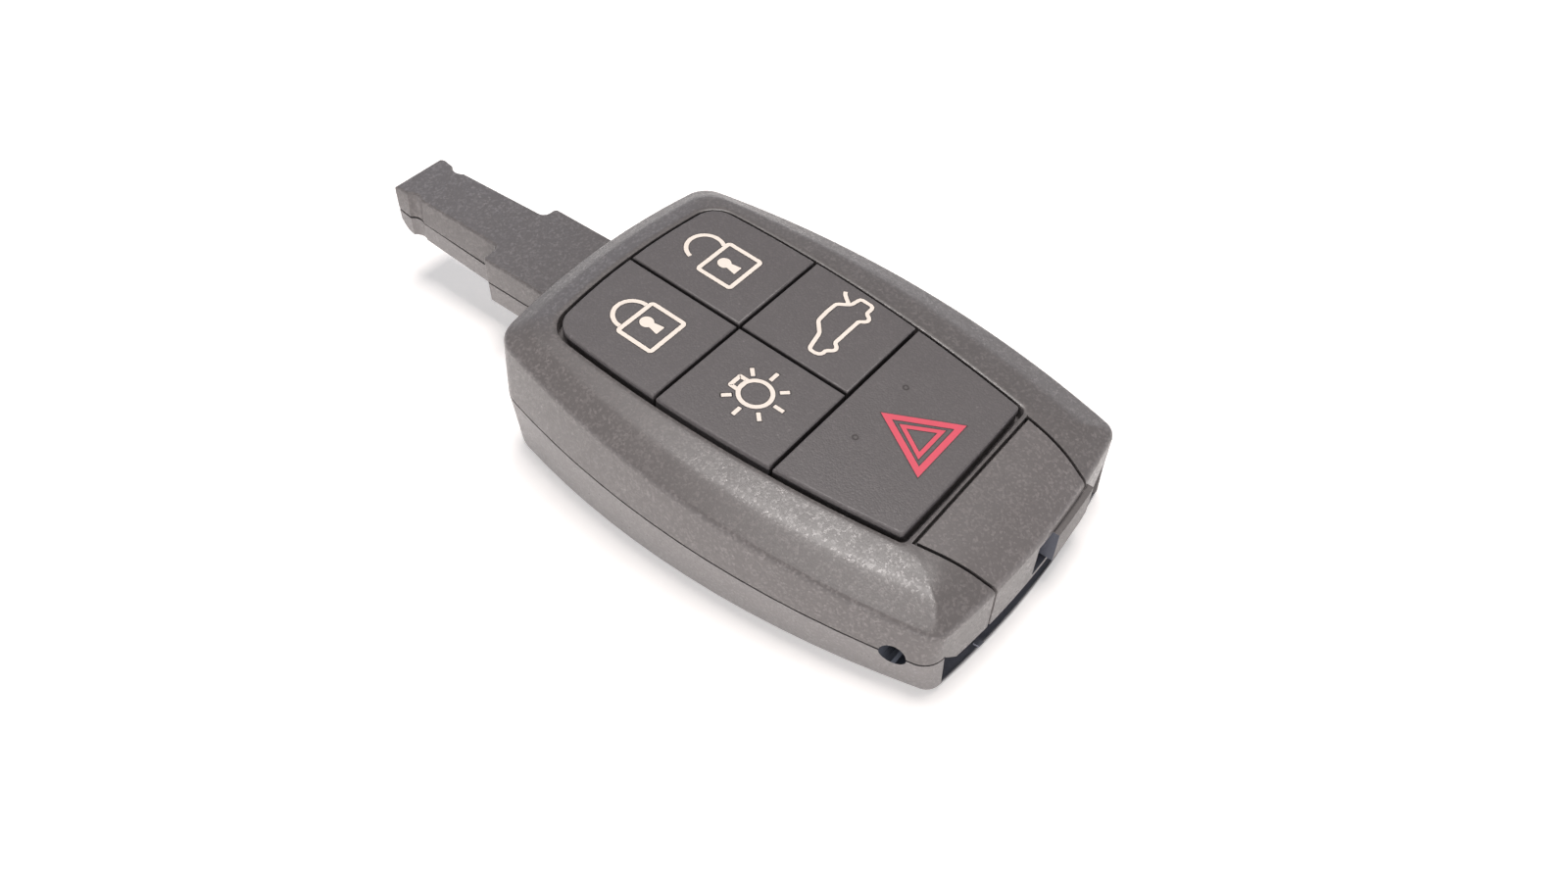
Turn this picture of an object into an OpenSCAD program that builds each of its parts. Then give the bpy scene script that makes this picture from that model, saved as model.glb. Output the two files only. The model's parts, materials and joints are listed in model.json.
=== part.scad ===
/* [Housing] */
// Width of the housing at its widest place
body_w = 40; // [38:0.5:43]
// Length from the widest place to the nose end
nose_end = 29.4; // [28.6:0.2:32]
// Length from the widest place to the rear end
rear_end = 28.75; // [28:0.25:31]
// Radius of the long sides seen from above
side_r = 110; // [95:1:140]
// Radius of the nose end seen from above
nose_end_r = 85; // [60:1:140]
// Radius of the rear end seen from above
rear_end_r = 100; // [70:1:160]
// Corner radius at the nose end
nose_corner_r = 3.5; // [2.5:0.1:5]
// Corner radius at the rear end
rear_corner_r = 2; // [1:0.1:3]
// Outward lean of the sides and the nose end at the parting line
flare = 0.4; // [0:0.05:0.8]
// Wall thickness of both shells
wall = 1.7; // [1.4:0.1:2]
// Height of the key face over the parting plane at the widest place
top_h = 8.1; // [7.9:0.1:9.5]
// Tilt of the key face to the parting plane
key_tilt = 3.75; // [3:0.05:4.2]
// Depth of the base under the parting plane at the widest place
base_h = 6.6; // [6.4:0.1:8]
// Tilt of the base to the parting plane
base_tilt = 3.3; // [2.8:0.05:3.8]
// Inward lean of the lower wall at the base
base_inset = 0.2; // [0:0.05:0.6]
// Radius of the lower edge
base_r = 0.9; // [0.4:0.1:1.2]
// Floor thickness of the lower shell
floor_t = 1.4; // [1:0.1:1.6]

/* [Bezel and key field] */
// Drop of the outer edge of the bezel under the key face
edge_drop = 1.9; // [1.5:0.1:2.4]
// Radius of the outer edge of the bezel
edge_r = 0.8; // [0.4:0.1:1.2]
// Drop of the inner rim of the bezel under the key face
rim_drop = 0.45; // [0.2:0.05:0.8]
// Thickness of the bezel at its inner rim
rim_t = 1.6; // [1.3:0.1:1.9]
// Width of the level land round the keys
rim_w = 0.9; // [0.5:0.1:1.4]
// Swell of the bezel between its rim and its edge
crown = 0.3; // [0:0.05:0.5]
// Greatest width of the key field
field_w = 26.7; // [25:0.1:28]
// Place of the greatest width along the key face
field_mid = 10.6; // [8:0.2:13]
// Nose end of the key field along the key face
field_front = 24.2; // [23:0.2:25]
// Rear end of the key field along the key face
field_rear = 19.4; // [18.6:0.1:20]
// Radius of the sides of the key field
field_side_r = 161; // [130:1:220]
// Radius of the nose end of the key field
field_front_r = 79; // [60:1:140]
// Corner radius of the key field at the nose end
field_corner_r = 3; // [2:0.1:4]
// Line between the first and second row of keys
row_1_y = 8.95; // [7:0.05:11]
// Line between the second and third row of keys
row_2_y = -5.1; // [-7:0.05:-3]
// Gap round each key
key_gap = 0.4; // [0.3:0.05:0.6]

/* [Keys] */
// Travel of a key
key_travel = 0.5; // [0.3:0.05:0.6]
// Height of a key from its face to its lower side
key_h = 2.8; // [2.6:0.1:3]
// Thickness of the top of a key
key_top_t = 1.2; // [0.8:0.1:1.5]
// Width of the flange that holds a key under the rim
flange_w = 0.8; // [0.5:0.1:1]
// Diameter of the stem under a key
stem_d = 3.2; // [2.4:0.1:4]
// Length of the stem under a key
stem_l = 0.35; // [0.2:0.05:0.4]

/* [Mat and board] */
// Diameter of a dome on the mat
dome_d = 5.4; // [4.6:0.1:6]
// Height of a dome over the mat
dome_h = 0.6; // [0.4:0.1:0.7]
// Thickness of the mat
mat_t = 0.6; // [0.5:0.1:0.7]
// Width of the mat beyond the key field
mat_over = 0.7; // [0.5:0.1:0.9]
// Width of the skirt round the mat
skirt_w = 1; // [0.8:0.1:1.4]
// Side of a push switch
switch_w = 4.2; // [3.4:0.1:4.4]
// Height of the case of a push switch
switch_h = 0.95; // [0.8:0.05:1.1]
// Diameter of the button of a push switch
switch_pin_d = 2; // [1.4:0.1:2.4]
// Height of the button of a push switch
switch_pin_h = 0.35; // [0.2:0.05:0.4]
// Thickness of the board
board_t = 1; // [0.8:0.1:1.1]
// Side of the controller chip
controller_w = 6; // [5:0.5:7]
// Side of the radio chip
radio_w = 4; // [3:0.5:5]
// Height of the chips
chip_h = 0.9; // [0.6:0.1:1.2]
// Length of the crystal
crystal_l = 3.2; // [2.5:0.1:5]
// Height of the antenna strip
antenna_h = 1.5; // [1:0.1:1.8]
// Thickness of the antenna strip
antenna_t = 0.5; // [0.3:0.1:0.7]
// Diameter of a board screw
screw_d = 1.9; // [1.6:0.1:2]
// Length of a board screw under its head
screw_l = 4.2; // [3.5:0.1:4.4]
// Diameter of the head of a board screw
screw_head_d = 3.4; // [3:0.1:3.8]
// Diameter of the boss that takes a board screw
boss_d = 3.8; // [3.6:0.1:4]
// Place of the board screws along the key face
boss_y = -9; // [-10:0.5:-7]

/* [Cell] */
// Diameter of the coin cell
cell_d = 24.5; // [20:0.1:24.8]
// Thickness of the coin cell
cell_t = 3; // [2:0.1:3.1]
// Place of the centre of the cell along the key face
cell_y = 11; // [10.5:0.1:11.4]
// Space between the board and the cell
cell_space = 0.5; // [0.4:0.05:0.6]
// Thickness of the contact sheet
contact_t = 0.2; // [0.15:0.05:0.3]
// Width of a side contact
contact_w = 5; // [3:0.5:7]

/* [Nose] */
// Width of the nose next to the housing
nose_w = 11.9; // [11:0.1:13]
// Width of the narrow shaft of the nose
shaft_w = 8.1; // [7.6:0.1:9]
// Width of the shaft at the neck
neck_w = 6.4; // [6.2:0.1:7]
// Width of the head at the tip
head_w = 7.5; // [7:0.1:8]
// Shift of the head to the right
head_shift = 0.25; // [0:0.05:0.4]
// Width of the slanted edge on the left of the shaft
bevel_w = 0.7; // [0.3:0.1:1]
// Height of the slanted edge on the left of the shaft
bevel_h = 3.2; // [1.6:0.1:3.4]
// Place of the shoulder along the fob
shoulder_y = 42; // [40:0.5:44]
// Place of the neck along the fob
neck_y = 56.3; // [56:0.1:57]
// Place of the tip along the fob
tip_y = 60; // [59.6:0.1:63]
// Height of the nose over the parting plane
nose_up = 3.6; // [3.4:0.1:4]
// Depth of the nose under the parting plane
nose_down = 2.6; // [2.4:0.1:3]
// Radius under the tip
tip_r = 2.4; // [1:0.1:2.4]
// Wall thickness of the nose
nose_wall = 1.3; // [1:0.1:1.4]

/* [Coil] */
// Diameter of the ferrite rod
core_d = 2; // [1.4:0.1:2.2]
// Length of the ferrite rod
core_l = 13; // [10:0.5:13.4]
// Length of the winding
winding_l = 10; // [6:0.5:10.4]
// Thickness of the winding
winding_t = 0.35; // [0.2:0.05:0.4]
// Thickness of an end flange of the bobbin
bobbin_end_t = 1; // [0.6:0.1:1.2]
// Width of a coil lead
lead_w = 0.6; // [0.4:0.1:1]
// Thickness of a coil lead
lead_t = 0.3; // [0.2:0.05:0.4]

/* [Rear end] */
// Width of the slot in the rear end
slot_w = 30; // [26:0.5:30.4]
// Height of the slot
slot_h = 2.6; // [2.2:0.1:2.7]
// Depth of the wide part of the slot
slot_depth = 10.5; // [6:0.5:10.8]
// Reach of the lip beyond the rest of the base
lip_out = 0.4; // [0.2:0.05:0.5]
// Thickness of the lip under the slot
lip_t = 0.5; // [0.4:0.05:0.7]
// Width of the tab on the lip
tab_w = 0.7; // [0.5:0.1:1.2]
// Height of the tab over the lip
tab_h = 0.3; // [0.2:0.05:0.5]
// Place of the tab across the lip
tab_x = -8.9; // [-12:0.1:-6]
// Thickness of the roof over the slot
roof_t = 0.8; // [0.6:0.1:1]
// Width of the narrow channel for the blade
channel_w = 8.5; // [6:0.5:10]
// Height of the narrow channel
channel_h = 1.9; // [1.4:0.1:2]
// Length of the narrow channel from the rear end
channel_l = 42; // [30:0.5:43]
// Thickness of the end panel
panel_t = 1; // [0.8:0.1:1.1]
// Thickness of the end wall
end_wall_t = 1.4; // [1.2:0.1:1.5]
// Gap round the end panel
panel_gap = 0.15; // [0.1:0.05:0.25]
// Width of the bar between the keys and the end panel
bar_w = 0.5; // [0.4:0.1:0.8]
// Diameter of the strap hole in the side
strap_d = 2.7; // [2:0.1:3]
// Place of the strap hole along the fob
strap_y = -23.7; // [-24.2:0.1:-22]

/* [Catch] */
// Width of the catch
catch_w = 7.5; // [6:0.1:8]
// Place of the right end of the catch
catch_right = 9.3; // [8.6:0.1:9.6]
// Travel of the catch
catch_travel = 2.4; // [1.5:0.1:2.6]
// Height of the catch face over the parting plane
catch_up = 2.9; // [2.2:0.1:3.1]
// Depth of the catch face under the parting plane
catch_down = 1.1; // [0.5:0.1:1.2]
// Stand of the catch face in front of the end wall
catch_proud = 0.7; // [0.3:0.1:1]
// Depth of the slide behind the end wall
slide_d = 3; // [2.8:0.1:3.2]
// Wire diameter of the catch spring
spring_wire = 0.4; // [0.3:0.05:0.45]
// Mean diameter of the catch spring
spring_d = 2.2; // [1.8:0.1:2.3]
// Turns of the catch spring
spring_turns = 5; // [4:1:6]
// Length of the catch spring at rest
spring_l = 6.6; // [6:0.1:7.2]

/* [Clearances] */
// Clearance of pieces that slide or lift out
slide_gap = 0.15; // [0.1:0.05:0.2]
// Clearance of pieces that are fixed in a seat
seat_gap = 0.05; // [0.02:0.01:0.1]

/* [Hidden] */
$fn = 48;
plastic = "#3b3a3c";
key_plastic = "#454345";
steel = "#b9bcc0";

// Points along each stretch of an outline, and the turns of a rounded edge
END_N = 4;
CORNER_N = 6;
SIDE_N = 14;
EDGE_TURNS = [0, 25, 50, 75];
BASE_TURNS = [90, 60, 30, 0];
far = 60;

half_w = body_w / 2;
top_wall = 1.6;
bulkhead_y = 16.4;
bulkhead_t = 1.6;
seal_w = 0.8;
end_depth = 4;
rear_room_y = bulkhead_y + bulkhead_t;
well_rear = bulkhead_y - bulkhead_t;
well_over = flange_w + 0.4;
boss_x = half_w - wall - boss_d / 2 - 0.6;
chip_x = 7.5;
board_in = 1;
strip_in = 0.3;
lead_x = 1.6;
lead_space = 0.8;
nose_turn = 0.6;
neck_turn = 48;
nose_fillet = 0.9;
neck_r = 1.6;
head_right_r = 1.2;
head_left_r = 0.4;
tab_d = 0.9;

// Levels under the key face
flange_z = -rim_drop - rim_t - seat_gap;
key_low = -key_h;
stem_z = key_low - stem_l;
dome_z = stem_z - key_travel - seat_gap;
mat_top = dome_z - dome_h;
mat_low = mat_top - mat_t;
switch_pin_z = mat_low - seat_gap;
board_top = switch_pin_z - switch_pin_h - switch_h;
board_low = board_top - board_t;
cell_top = board_low - cell_space;
cell_low = cell_top - cell_t;
well_low = key_low - key_travel - slide_gap;

// Heights over the base
slot_top = lip_t + slot_h;
roof_top = slot_top + roof_t;
channel_z = lip_t + (slot_h - channel_h) / 2;
spine_top = channel_z + channel_h + roof_t / 2;

nose_room_up = nose_up - nose_wall;
nose_room_down = nose_down - nose_wall;
coil_z = (nose_room_up - nose_room_down) / 2;
coil_in = 0.5;
coil_y = shoulder_y + coil_in + core_l / 2;
coil_bore = core_d + 2 * seat_gap;
coil_tube_t = 0.3;

// Places of the catch, its slide and its spring
catch_left = catch_right - catch_w;
window_left = catch_left - catch_travel - 2 * slide_gap;
end_wall_in = rear_end - end_wall_t;
slide_drop = 0.5;
slide_left = window_left - slide_gap;
slide_rear = end_wall_in - slide_gap;
slide_top = catch_up - slide_drop;
slide_low = -base_h + slide_rear * tan(base_tilt) + roof_top + slide_gap;
spring_room = 0.5;
spring_y = -slide_rear + (spring_d + spring_wire) / 2 + spring_room;
spring_z = (slide_low + slide_top) / 2;
peg_d = spring_d - spring_wire - 4 * seat_gap;
peg_l = 1.2;
tooth_w = 2;
tooth_d = 1.4;
tooth_reach = 0.8;

// Where each key sits: side, rear line and front line
LEFT = -1;
BOTH = 0;
RIGHT = 1;
KEYS = [[LEFT, row_1_y, far], [RIGHT, row_1_y, far], [LEFT, row_2_y, row_1_y],
    [RIGHT, row_2_y, row_1_y], [BOTH, -far, row_2_y]];
LOCK = 0;
UNLOCK = 1;
LIGHT = 2;
TRUNK = 3;
HAZARD = 4;

function heading(v) = atan2(v.y, v.x);

function arc(c, r, a0, a1, n) =
    [for (i = [1:n]) let (a = a0 + (a1 - a0) * i / n) [c.x + r * cos(a), c.y + r * sin(a)]];

// Meeting point of two circles, on the side s of the line between their centres
function meet(a, ra, b, rb, s) =
    let (d = norm(b - a), u = (b - a) / d, t = (ra * ra - rb * rb + d * d) / (2 * d))
    a + t * u + s * sqrt(ra * ra - t * t) * [-u.y, u.x];

// Outline with bowed sides and ends and round corners, from the middle of the rear end
function barrel(hw, mid, front, rear, side, front_r, rear_r, front_q, rear_q) =
    let (cs = [hw - side, mid], cf = [0, front - front_r], cb = [0, rear_r - rear],
        f = meet(cs, side - front_q, cf, front_r - front_q, 1),
        b = meet(cs, side - rear_q, cb, rear_r - rear_q, -1),
        half = concat([[0, -rear]],
            arc(cb, rear_r, -90, heading(b - cb), END_N),
            arc(b, rear_q, heading(b - cb), heading(b - cs), CORNER_N),
            arc(cs, side, heading(b - cs), heading(f - cs), SIDE_N),
            arc(f, front_q, heading(f - cs), heading(f - cf), CORNER_N),
            arc(cf, front_r, heading(f - cf), 90, END_N)))
    concat(half, [for (i = [len(half) - 2:-1:1]) [-half[i].x, half[i].y]]);

straight_r = 400;
small_r = 0.4;

// Housing outline, drawn in by d
function housing(d) = barrel(half_w - d, 0, nose_end - d, rear_end - d, side_r - d, nose_end_r - d,
    rear_end_r - d, max(nose_corner_r - d, small_r), max(rear_corner_r - d, small_r));

// Outline at the parting line, upright at the rear end
function parting() = barrel(half_w + flare, 0, nose_end + flare, rear_end, side_r + flare,
    nose_end_r + flare, rear_end_r, nose_corner_r + flare, rear_corner_r + flare);

// Outline of the base with its lip, drawn in by d
function base(d) = barrel(half_w - d, 0, nose_end - d, rear_end + lip_out - d, side_r - d,
    nose_end_r - d, rear_end_r - d, max(nose_corner_r - d, small_r), max(rear_corner_r - d, small_r));

// Inside of the room for the board and the cell, drawn in by d
function room(d) = barrel(half_w - wall - d, 0, nose_end - wall - d, bulkhead_y - d,
    side_r - wall - d, nose_end_r - wall - d, straight_r, max(nose_corner_r - wall - d, small_r),
    max(2 * small_r - d, small_r));

// Inside of the room for the catch
function rear_space() = barrel(half_w - wall, 0, nose_end - wall, end_wall_in, side_r - wall,
    nose_end_r - wall, rear_end_r - end_wall_t, nose_corner_r - wall, small_r);

// Key field on the key face, let out by d, with its rear line at rear
function field(d, rear = field_rear) = barrel(field_w / 2 + d, field_mid, field_front + d, rear + d,
    field_side_r + d, field_front_r + d, straight_r, field_corner_r + d, small_r + max(d, 0));

function field_x(y) = field_w / 2 - field_side_r + sqrt(pow(field_side_r, 2) - pow(y - field_mid, 2));

// Rings of points: level, under the key face, on the key face, over the base
function flat_ring(pts, z) = [for (p = pts) [p.x, p.y, z]];
function face_ring(pts, z) =
    [for (p = pts) [p.x, p.y, top_h + p.y * tan(key_tilt) + z / cos(key_tilt)]];
function field_ring(pts, z) = [for (p = pts) [p.x, p.y * cos(key_tilt) - z * sin(key_tilt),
    top_h + p.y * sin(key_tilt) + z * cos(key_tilt)]];
function base_ring(pts, h) =
    [for (p = pts) [p.x, p.y, -base_h - p.y * tan(base_tilt) + h / cos(base_tilt)]];
function between_ring(a, b, t, up) =
    [for (i = [0:len(a) - 1]) a[i] * (1 - t) + b[i] * t + [0, 0, up]];

// Solid through a list of rings, from the lowest up
module loft(rings) {
    n = len(rings[0]);
    m = len(rings);
    sides = [for (j = [0:m - 2], i = [0:n - 1])
        let (k = (i + 1) % n, a = j * n + i, b = j * n + k, c = b + n, d = a + n)
        each [[a, d, c], [a, c, b]]];
    low = [for (i = [0:n - 1]) i];
    high = [for (i = [n - 1:-1:0]) (m - 1) * n + i];
    polyhedron(points = [for (r = rings) each r], faces = concat(sides, [low], [high]));
}

// Frames: the finished part on its base, the key face, the base
module seat() {
    rear_reach = (rear_end + catch_proud) * cos(base_tilt) + catch_up * sin(base_tilt);
    front_reach = tip_y * cos(base_tilt);
    translate([0, (rear_reach - front_reach) / 2, base_h * cos(base_tilt)])
        rotate([base_tilt, 0, 0])
            children();
}
module on_keys(z = 0) {
    translate([0, 0, top_h])
        rotate([key_tilt, 0, 0])
            translate([0, 0, z])
                children();
}
module on_base(z = 0) {
    translate([0, 0, -base_h])
        rotate([-base_tilt, 0, 0])
            translate([0, 0, z])
                children();
}
module at_bosses(z) {
    for (x = [-boss_x, boss_x])
        on_keys(z)
            translate([x, boss_y, 0])
                children();
}
module box(x0, x1, y0, y1, z0, z1) {
    translate([x0, y0, z0])
        cube([x1 - x0, y1 - y0, z1 - z0]);
}
module key_slab(pts, z0, z1) {
    on_keys(z0)
        linear_extrude(z1 - z0)
            polygon(pts);
}

// Lofted mass of the upper shell, with the apron that closes the rear end over the slot
module upper_mass() {
    turns = [for (a = EDGE_TURNS)
        face_ring(housing(edge_r * (1 - cos(a))), edge_r * (sin(a) - 1) - edge_drop)];
    edge = turns[len(turns) - 1];
    rim = field_ring(field(rim_w), -rim_drop);
    loft(concat([flat_ring(parting(), 0)], turns,
        [for (t = [1 / 4, 1 / 2, 3 / 4]) between_ring(edge, rim, t, crown * 4 * t * (1 - t))],
        [rim]));
    apron();
}
module apron() {
    apron_z = -base_h + rear_end * tan(base_tilt) + slot_top;
    reach = slot_w / 2 - slide_gap;
    intersection() {
        difference() {
            translate([0, 0, apron_z])
                linear_extrude(seat_gap - apron_z)
                    polygon(parting());
            translate([0, 0, 2 * apron_z])
                linear_extrude(-3 * apron_z)
                    polygon(housing(end_wall_t));
        }
        translate([0, -rear_end + far / 3, 0])
            rotate([90, 0, 0])
                linear_extrude(far)
                    polygon([[-reach, 1], [-reach, 0], [-reach - apron_z, apron_z],
                        [reach + apron_z, apron_z], [reach, 0], [reach, 1]]);
        box(-half_w, half_w, -far, -rear_end + end_depth, -far, far);
    }
}

// Half of the nose seen from above, with its head h wide from the middle and a corner radius q
function nose_half(h, q) =
    let (w = nose_w / 2, s = shaft_w / 2, k = neck_w / 2)
    concat([[w, nose_end - end_depth]],
        arc([w - nose_turn, shoulder_y - nose_turn], nose_turn, 0, 90, 4),
        arc([s + nose_fillet, shoulder_y + nose_fillet], nose_fillet, 270, 180, 4),
        arc([k + neck_r, neck_y], neck_r, 180 + neck_turn, 180 - neck_turn, 6),
        arc([h - q, tip_y - q], q, 0, 84, 4));
// Nose between two heights, rounded under its tip
module nose(z0, z1) {
    right = nose_half(head_w / 2 + head_shift, head_right_r);
    left = nose_half(head_w / 2 - head_shift, head_left_r);
    outline = concat(right, [for (i = [len(left) - 1:-1:0]) [-left[i].x, left[i].y]]);
    intersection() {
        translate([0, 0, z0])
            linear_extrude(z1 - z0)
                polygon(outline);
        translate([-half_w, 0, 0])
            rotate([90, 0, 90])
                linear_extrude(body_w)
                    polygon(concat([[0, nose_up], [0, -nose_down]],
                        arc([tip_y - tip_r, tip_r - nose_down], tip_r, 270, 360, 6),
                        arc([tip_y - small_r, nose_up - small_r], small_r, 0, 90, 3)));
    }
}
// Slanted side on the left of the shaft, along its taper up to the neck
module nose_bevel() {
    from_y = shoulder_y + nose_fillet;
    run = neck_y - neck_r * sin(neck_turn) - from_y;
    drift = shaft_w / 2 - neck_w / 2 - neck_r * (1 - cos(neck_turn));
    translate([-shaft_w / 2, from_y, nose_up])
        rotate([-90, 0, -atan(drift / run)])
            linear_extrude(neck_y - from_y)
                polygon([[bevel_w, 0], [0, bevel_h], [-bevel_w, bevel_h], [-bevel_w, -1], [bevel_w, -1]]);
}
module nose_room(z0, z1) {
    box(-nose_w / 2 + nose_wall, nose_w / 2 - nose_wall, nose_end + flare, shoulder_y - nose_wall, z0, z1);
    box(-neck_w / 2 + nose_wall / 2, neck_w / 2 - nose_wall / 2, shoulder_y - 2 * nose_wall,
        tip_y - tip_r, z0, z1);
}

// Space of the end panel on the key face, drawn in by d
module panel_space(d) {
    y0 = -field_rear - key_gap / 2 - bar_w - d;
    y1 = -rear_end - 3;
    steps = 6;
    ys = [for (i = [0:steps]) y0 + (y1 - y0) * i / steps];
    key_slab(concat([for (y = ys) [field_x(y) - d, y]],
        [for (i = [steps:-1:0]) [-field_x(ys[i]) + d, ys[i]]]), -far, far / 3);
}
// Everything over the lower side of the end panel
module over_panel() {
    run = rear_end - field_rear - rim_w;
    fall = atan((edge_drop - rim_drop) / run);
    on_keys(-rim_drop - panel_t)
        translate([0, -field_rear - rim_w, 0])
            rotate([fall, 0, 0])
                box(-half_w, half_w, -far, far, 0, far);
}
// Everything behind the inner side of the end wall, with room d in front of it
module behind_end_wall(d = 0) {
    intersection() {
        translate([0, 0, -far])
            linear_extrude(2 * far)
                difference() {
                    polygon(housing(-2));
                    polygon(housing(end_wall_t + d));
                }
        box(-half_w, half_w, -far, -rear_end + end_depth, -far, far);
    }
}

module strap_bore() {
    translate([-half_w - 1, strap_y, 0])
        rotate([0, 90, 0])
            cylinder(d = strap_d, h = half_w - slot_w / 2 + 2.6);
}

module upper_shell() color(plastic) seat() {
    difference() {
        union() {
            difference() {
                union() {
                    upper_mass();
                    nose(0, nose_up);
                }
                loft([flat_ring(room(0), -1),
                    face_ring(room(0), -edge_drop - edge_r - top_wall),
                    field_ring(field(well_over, well_rear), well_low + slide_gap)]);
            }
            at_bosses(board_top)
                cylinder(d = boss_d, h = key_low - board_top);
        }
        at_bosses(board_top - 1)
            cylinder(d = screw_d + seat_gap, h = screw_l - board_t + 1 + 2 * slide_gap);
        key_slab(field(key_gap / 2), well_low, far / 3);
        key_slab(field(flange_w + slide_gap), well_low, -rim_drop - rim_t);
        intersection() {
            panel_space(0);
            union() {
                over_panel();
                behind_end_wall();
            }
        }
        panel_space(1);
        catch_window();
        rear_room();
        nose_bevel();
        nose_room(-1, nose_room_up);
        box(-neck_w / 2, neck_w / 2, nose_end - end_depth, nose_end + 1, coil_z, nose_room_up);
        strap_bore();
    }
}
// Window of the catch in the end wall, with room for its travel
module catch_window() {
    box(window_left, catch_right + slide_gap, -far, -end_wall_in + 1, -catch_down - slide_gap,
        catch_up + slide_gap);
}
// Room of the catch, behind the end wall
module rear_room() {
    intersection() {
        translate([0, 0, -1])
            linear_extrude(far)
                polygon(rear_space());
        box(-half_w, half_w, -far, -rear_room_y, -1, far);
        on_keys()
            box(-half_w, half_w, -far, far, -far, well_low);
    }
}

module lower_shell() color(plastic) seat() {
    difference() {
        union() {
            loft(concat([for (a = BASE_TURNS)
                base_ring(base(base_inset + base_r * (1 - cos(a))), base_r * (1 - sin(a)))],
                [flat_ring(parting(), 0)]));
            nose(-nose_down, 0);
        }
        difference() {
            intersection() {
                translate([0, 0, -far])
                    linear_extrude(far + 1)
                        polygon(room(0));
                on_base(floor_t)
                    box(-half_w, half_w, -far, far, 0, far);
            }
            on_base()
                box(-channel_w / 2 - 1, channel_w / 2 + 1, -far, channel_l - rear_end + 1, 0, spine_top);
            cell_ribs();
            board_posts();
        }
        translate([0, 0, -seal_w - seat_gap])
            linear_extrude(2)
                polygon(room(-seal_w));
        intersection() {
            translate([0, 0, -far])
                linear_extrude(far + 1)
                    polygon(rear_space());
            on_base(roof_top)
                box(-half_w, half_w, -far, -rear_room_y, 0, far);
        }
        difference() {
            slot();
            on_base()
                box(tab_x - tab_w / 2, tab_x + tab_w / 2, -far, -rear_end + tab_d, 0, lip_t + tab_h);
        }
        on_base(channel_z)
            box(-channel_w / 2, channel_w / 2, -far, channel_l - rear_end, 0, channel_h);
        on_base()
            tooth(catch_travel, slide_gap);
        nose_room(-nose_room_down, 1);
        strap_bore();
    }
    spring_stop();
}
// Slot over the lip, open behind the end wall
module slot() {
    on_base(lip_t)
        box(-slot_w / 2, slot_w / 2, -far, -rear_end + slot_depth, 0, slot_h);
    intersection() {
        behind_end_wall(slide_gap);
        on_base(lip_t)
            box(-slot_w / 2, slot_w / 2, -far, far, 0, far);
    }
}
// Ribs that carry the cell and posts that carry the front of the board
module cell_ribs() {
    rib_t = 1.2;
    for (s = [-1, 1])
        intersection() {
            box(s * cell_d / 3 - rib_t / 2, s * cell_d / 3 + rib_t / 2, cell_y - cell_d / 3,
                cell_y + cell_d / 3, -far, 0);
            on_keys(cell_low - seat_gap)
                box(-half_w, half_w, -far, far, -far, 0);
        }
}
module board_posts() {
    post_d = 3;
    for (s = [-1, 1])
        intersection() {
            translate([s * (half_w - wall - nose_corner_r - 1.4), cell_y + cell_d / 2 - 0.6, -far])
                cylinder(d = post_d, h = 2 * far);
            on_keys(board_low - seat_gap)
                box(-half_w, half_w, -far, far, -far, 0);
        }
}

module end_panel() color(plastic) seat() {
    difference() {
        intersection() {
            upper_mass();
            panel_space(panel_gap);
            union() {
                over_panel();
                behind_end_wall();
            }
        }
        catch_window();
    }
}

// One key: a hollow cap with a flange under the rim and a stem over the dome
module key(i) color(key_plastic) seat() {
    gap = key_gap / 2;
    intersection() {
        union() {
            difference() {
                key_slab(field(-gap), key_low, 0);
                difference() {
                    key_slab(field(-gap - key_top_t), key_low - 1, -key_top_t);
                    key_frame(i, gap + key_top_t, -1);
                    at_key(i, key_low)
                        cylinder(d = stem_d, h = key_h);
                }
            }
            key_slab(field(flange_w), key_low, flange_z);
            at_key(i, key_low)
                translate([0, 0, -stem_l])
                    cylinder(d = stem_d, h = key_h);
        }
        key_frame(i, gap, 1);
    }
}
// Cell of a key drawn in by d: inside where keep is 1, outside where it is -1
module key_frame(i, d, keep) {
    k = KEYS[i];
    x0 = k[0] == RIGHT ? d : -far;
    x1 = k[0] == LEFT ? -d : far;
    on_keys()
        difference() {
            if (keep < 0)
                box(-2 * far, 2 * far, -2 * far, 2 * far, -far, far);
            else
                box(x0, x1, k[1] + d, k[2] - d, -far, far);
            if (keep < 0)
                box(x0, x1, k[1] + d, k[2] - d, -far - 1, far + 1);
        }
}
// Middle of a key on the key face
function key_middle(i) =
    let (k = KEYS[i], y0 = max(k[1], -field_rear), y1 = min(k[2], field_front))
    [k[0] * field_w / 4, (y0 + y1) / 2];
module at_key(i, z) {
    on_keys(z)
        translate(key_middle(i))
            children();
}
module lock_button() key(LOCK);
module unlock_button() key(UNLOCK);
module light_button() key(LIGHT);
module trunk_button() key(TRUNK);
module hazard_button() key(HAZARD);

// Silicone mat: a sheet with a skirt down to the board and a hollow dome under each key
module keypad_mat() color("#5a5c5e") seat() {
    dome_wall = 0.5;
    difference() {
        union() {
            key_slab(field(mat_over, well_rear), mat_low, mat_top);
            difference() {
                key_slab(field(mat_over, well_rear), board_top + seat_gap, mat_top);
                key_slab(field(mat_over - skirt_w, well_rear), board_top - 1, mat_low);
            }
            for (i = [LOCK:HAZARD])
                at_key(i, mat_low)
                    cylinder(d1 = dome_d + 2 * dome_h, d2 = dome_d, h = dome_z - mat_low);
        }
        for (i = [LOCK:HAZARD])
            at_key(i, mat_low - 1)
                difference() {
                    cylinder(d = dome_d - 2 * dome_wall, h = dome_z - mat_low + 1 - dome_wall);
                    cylinder(d = switch_pin_d, h = far);
                }
    }
}

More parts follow.
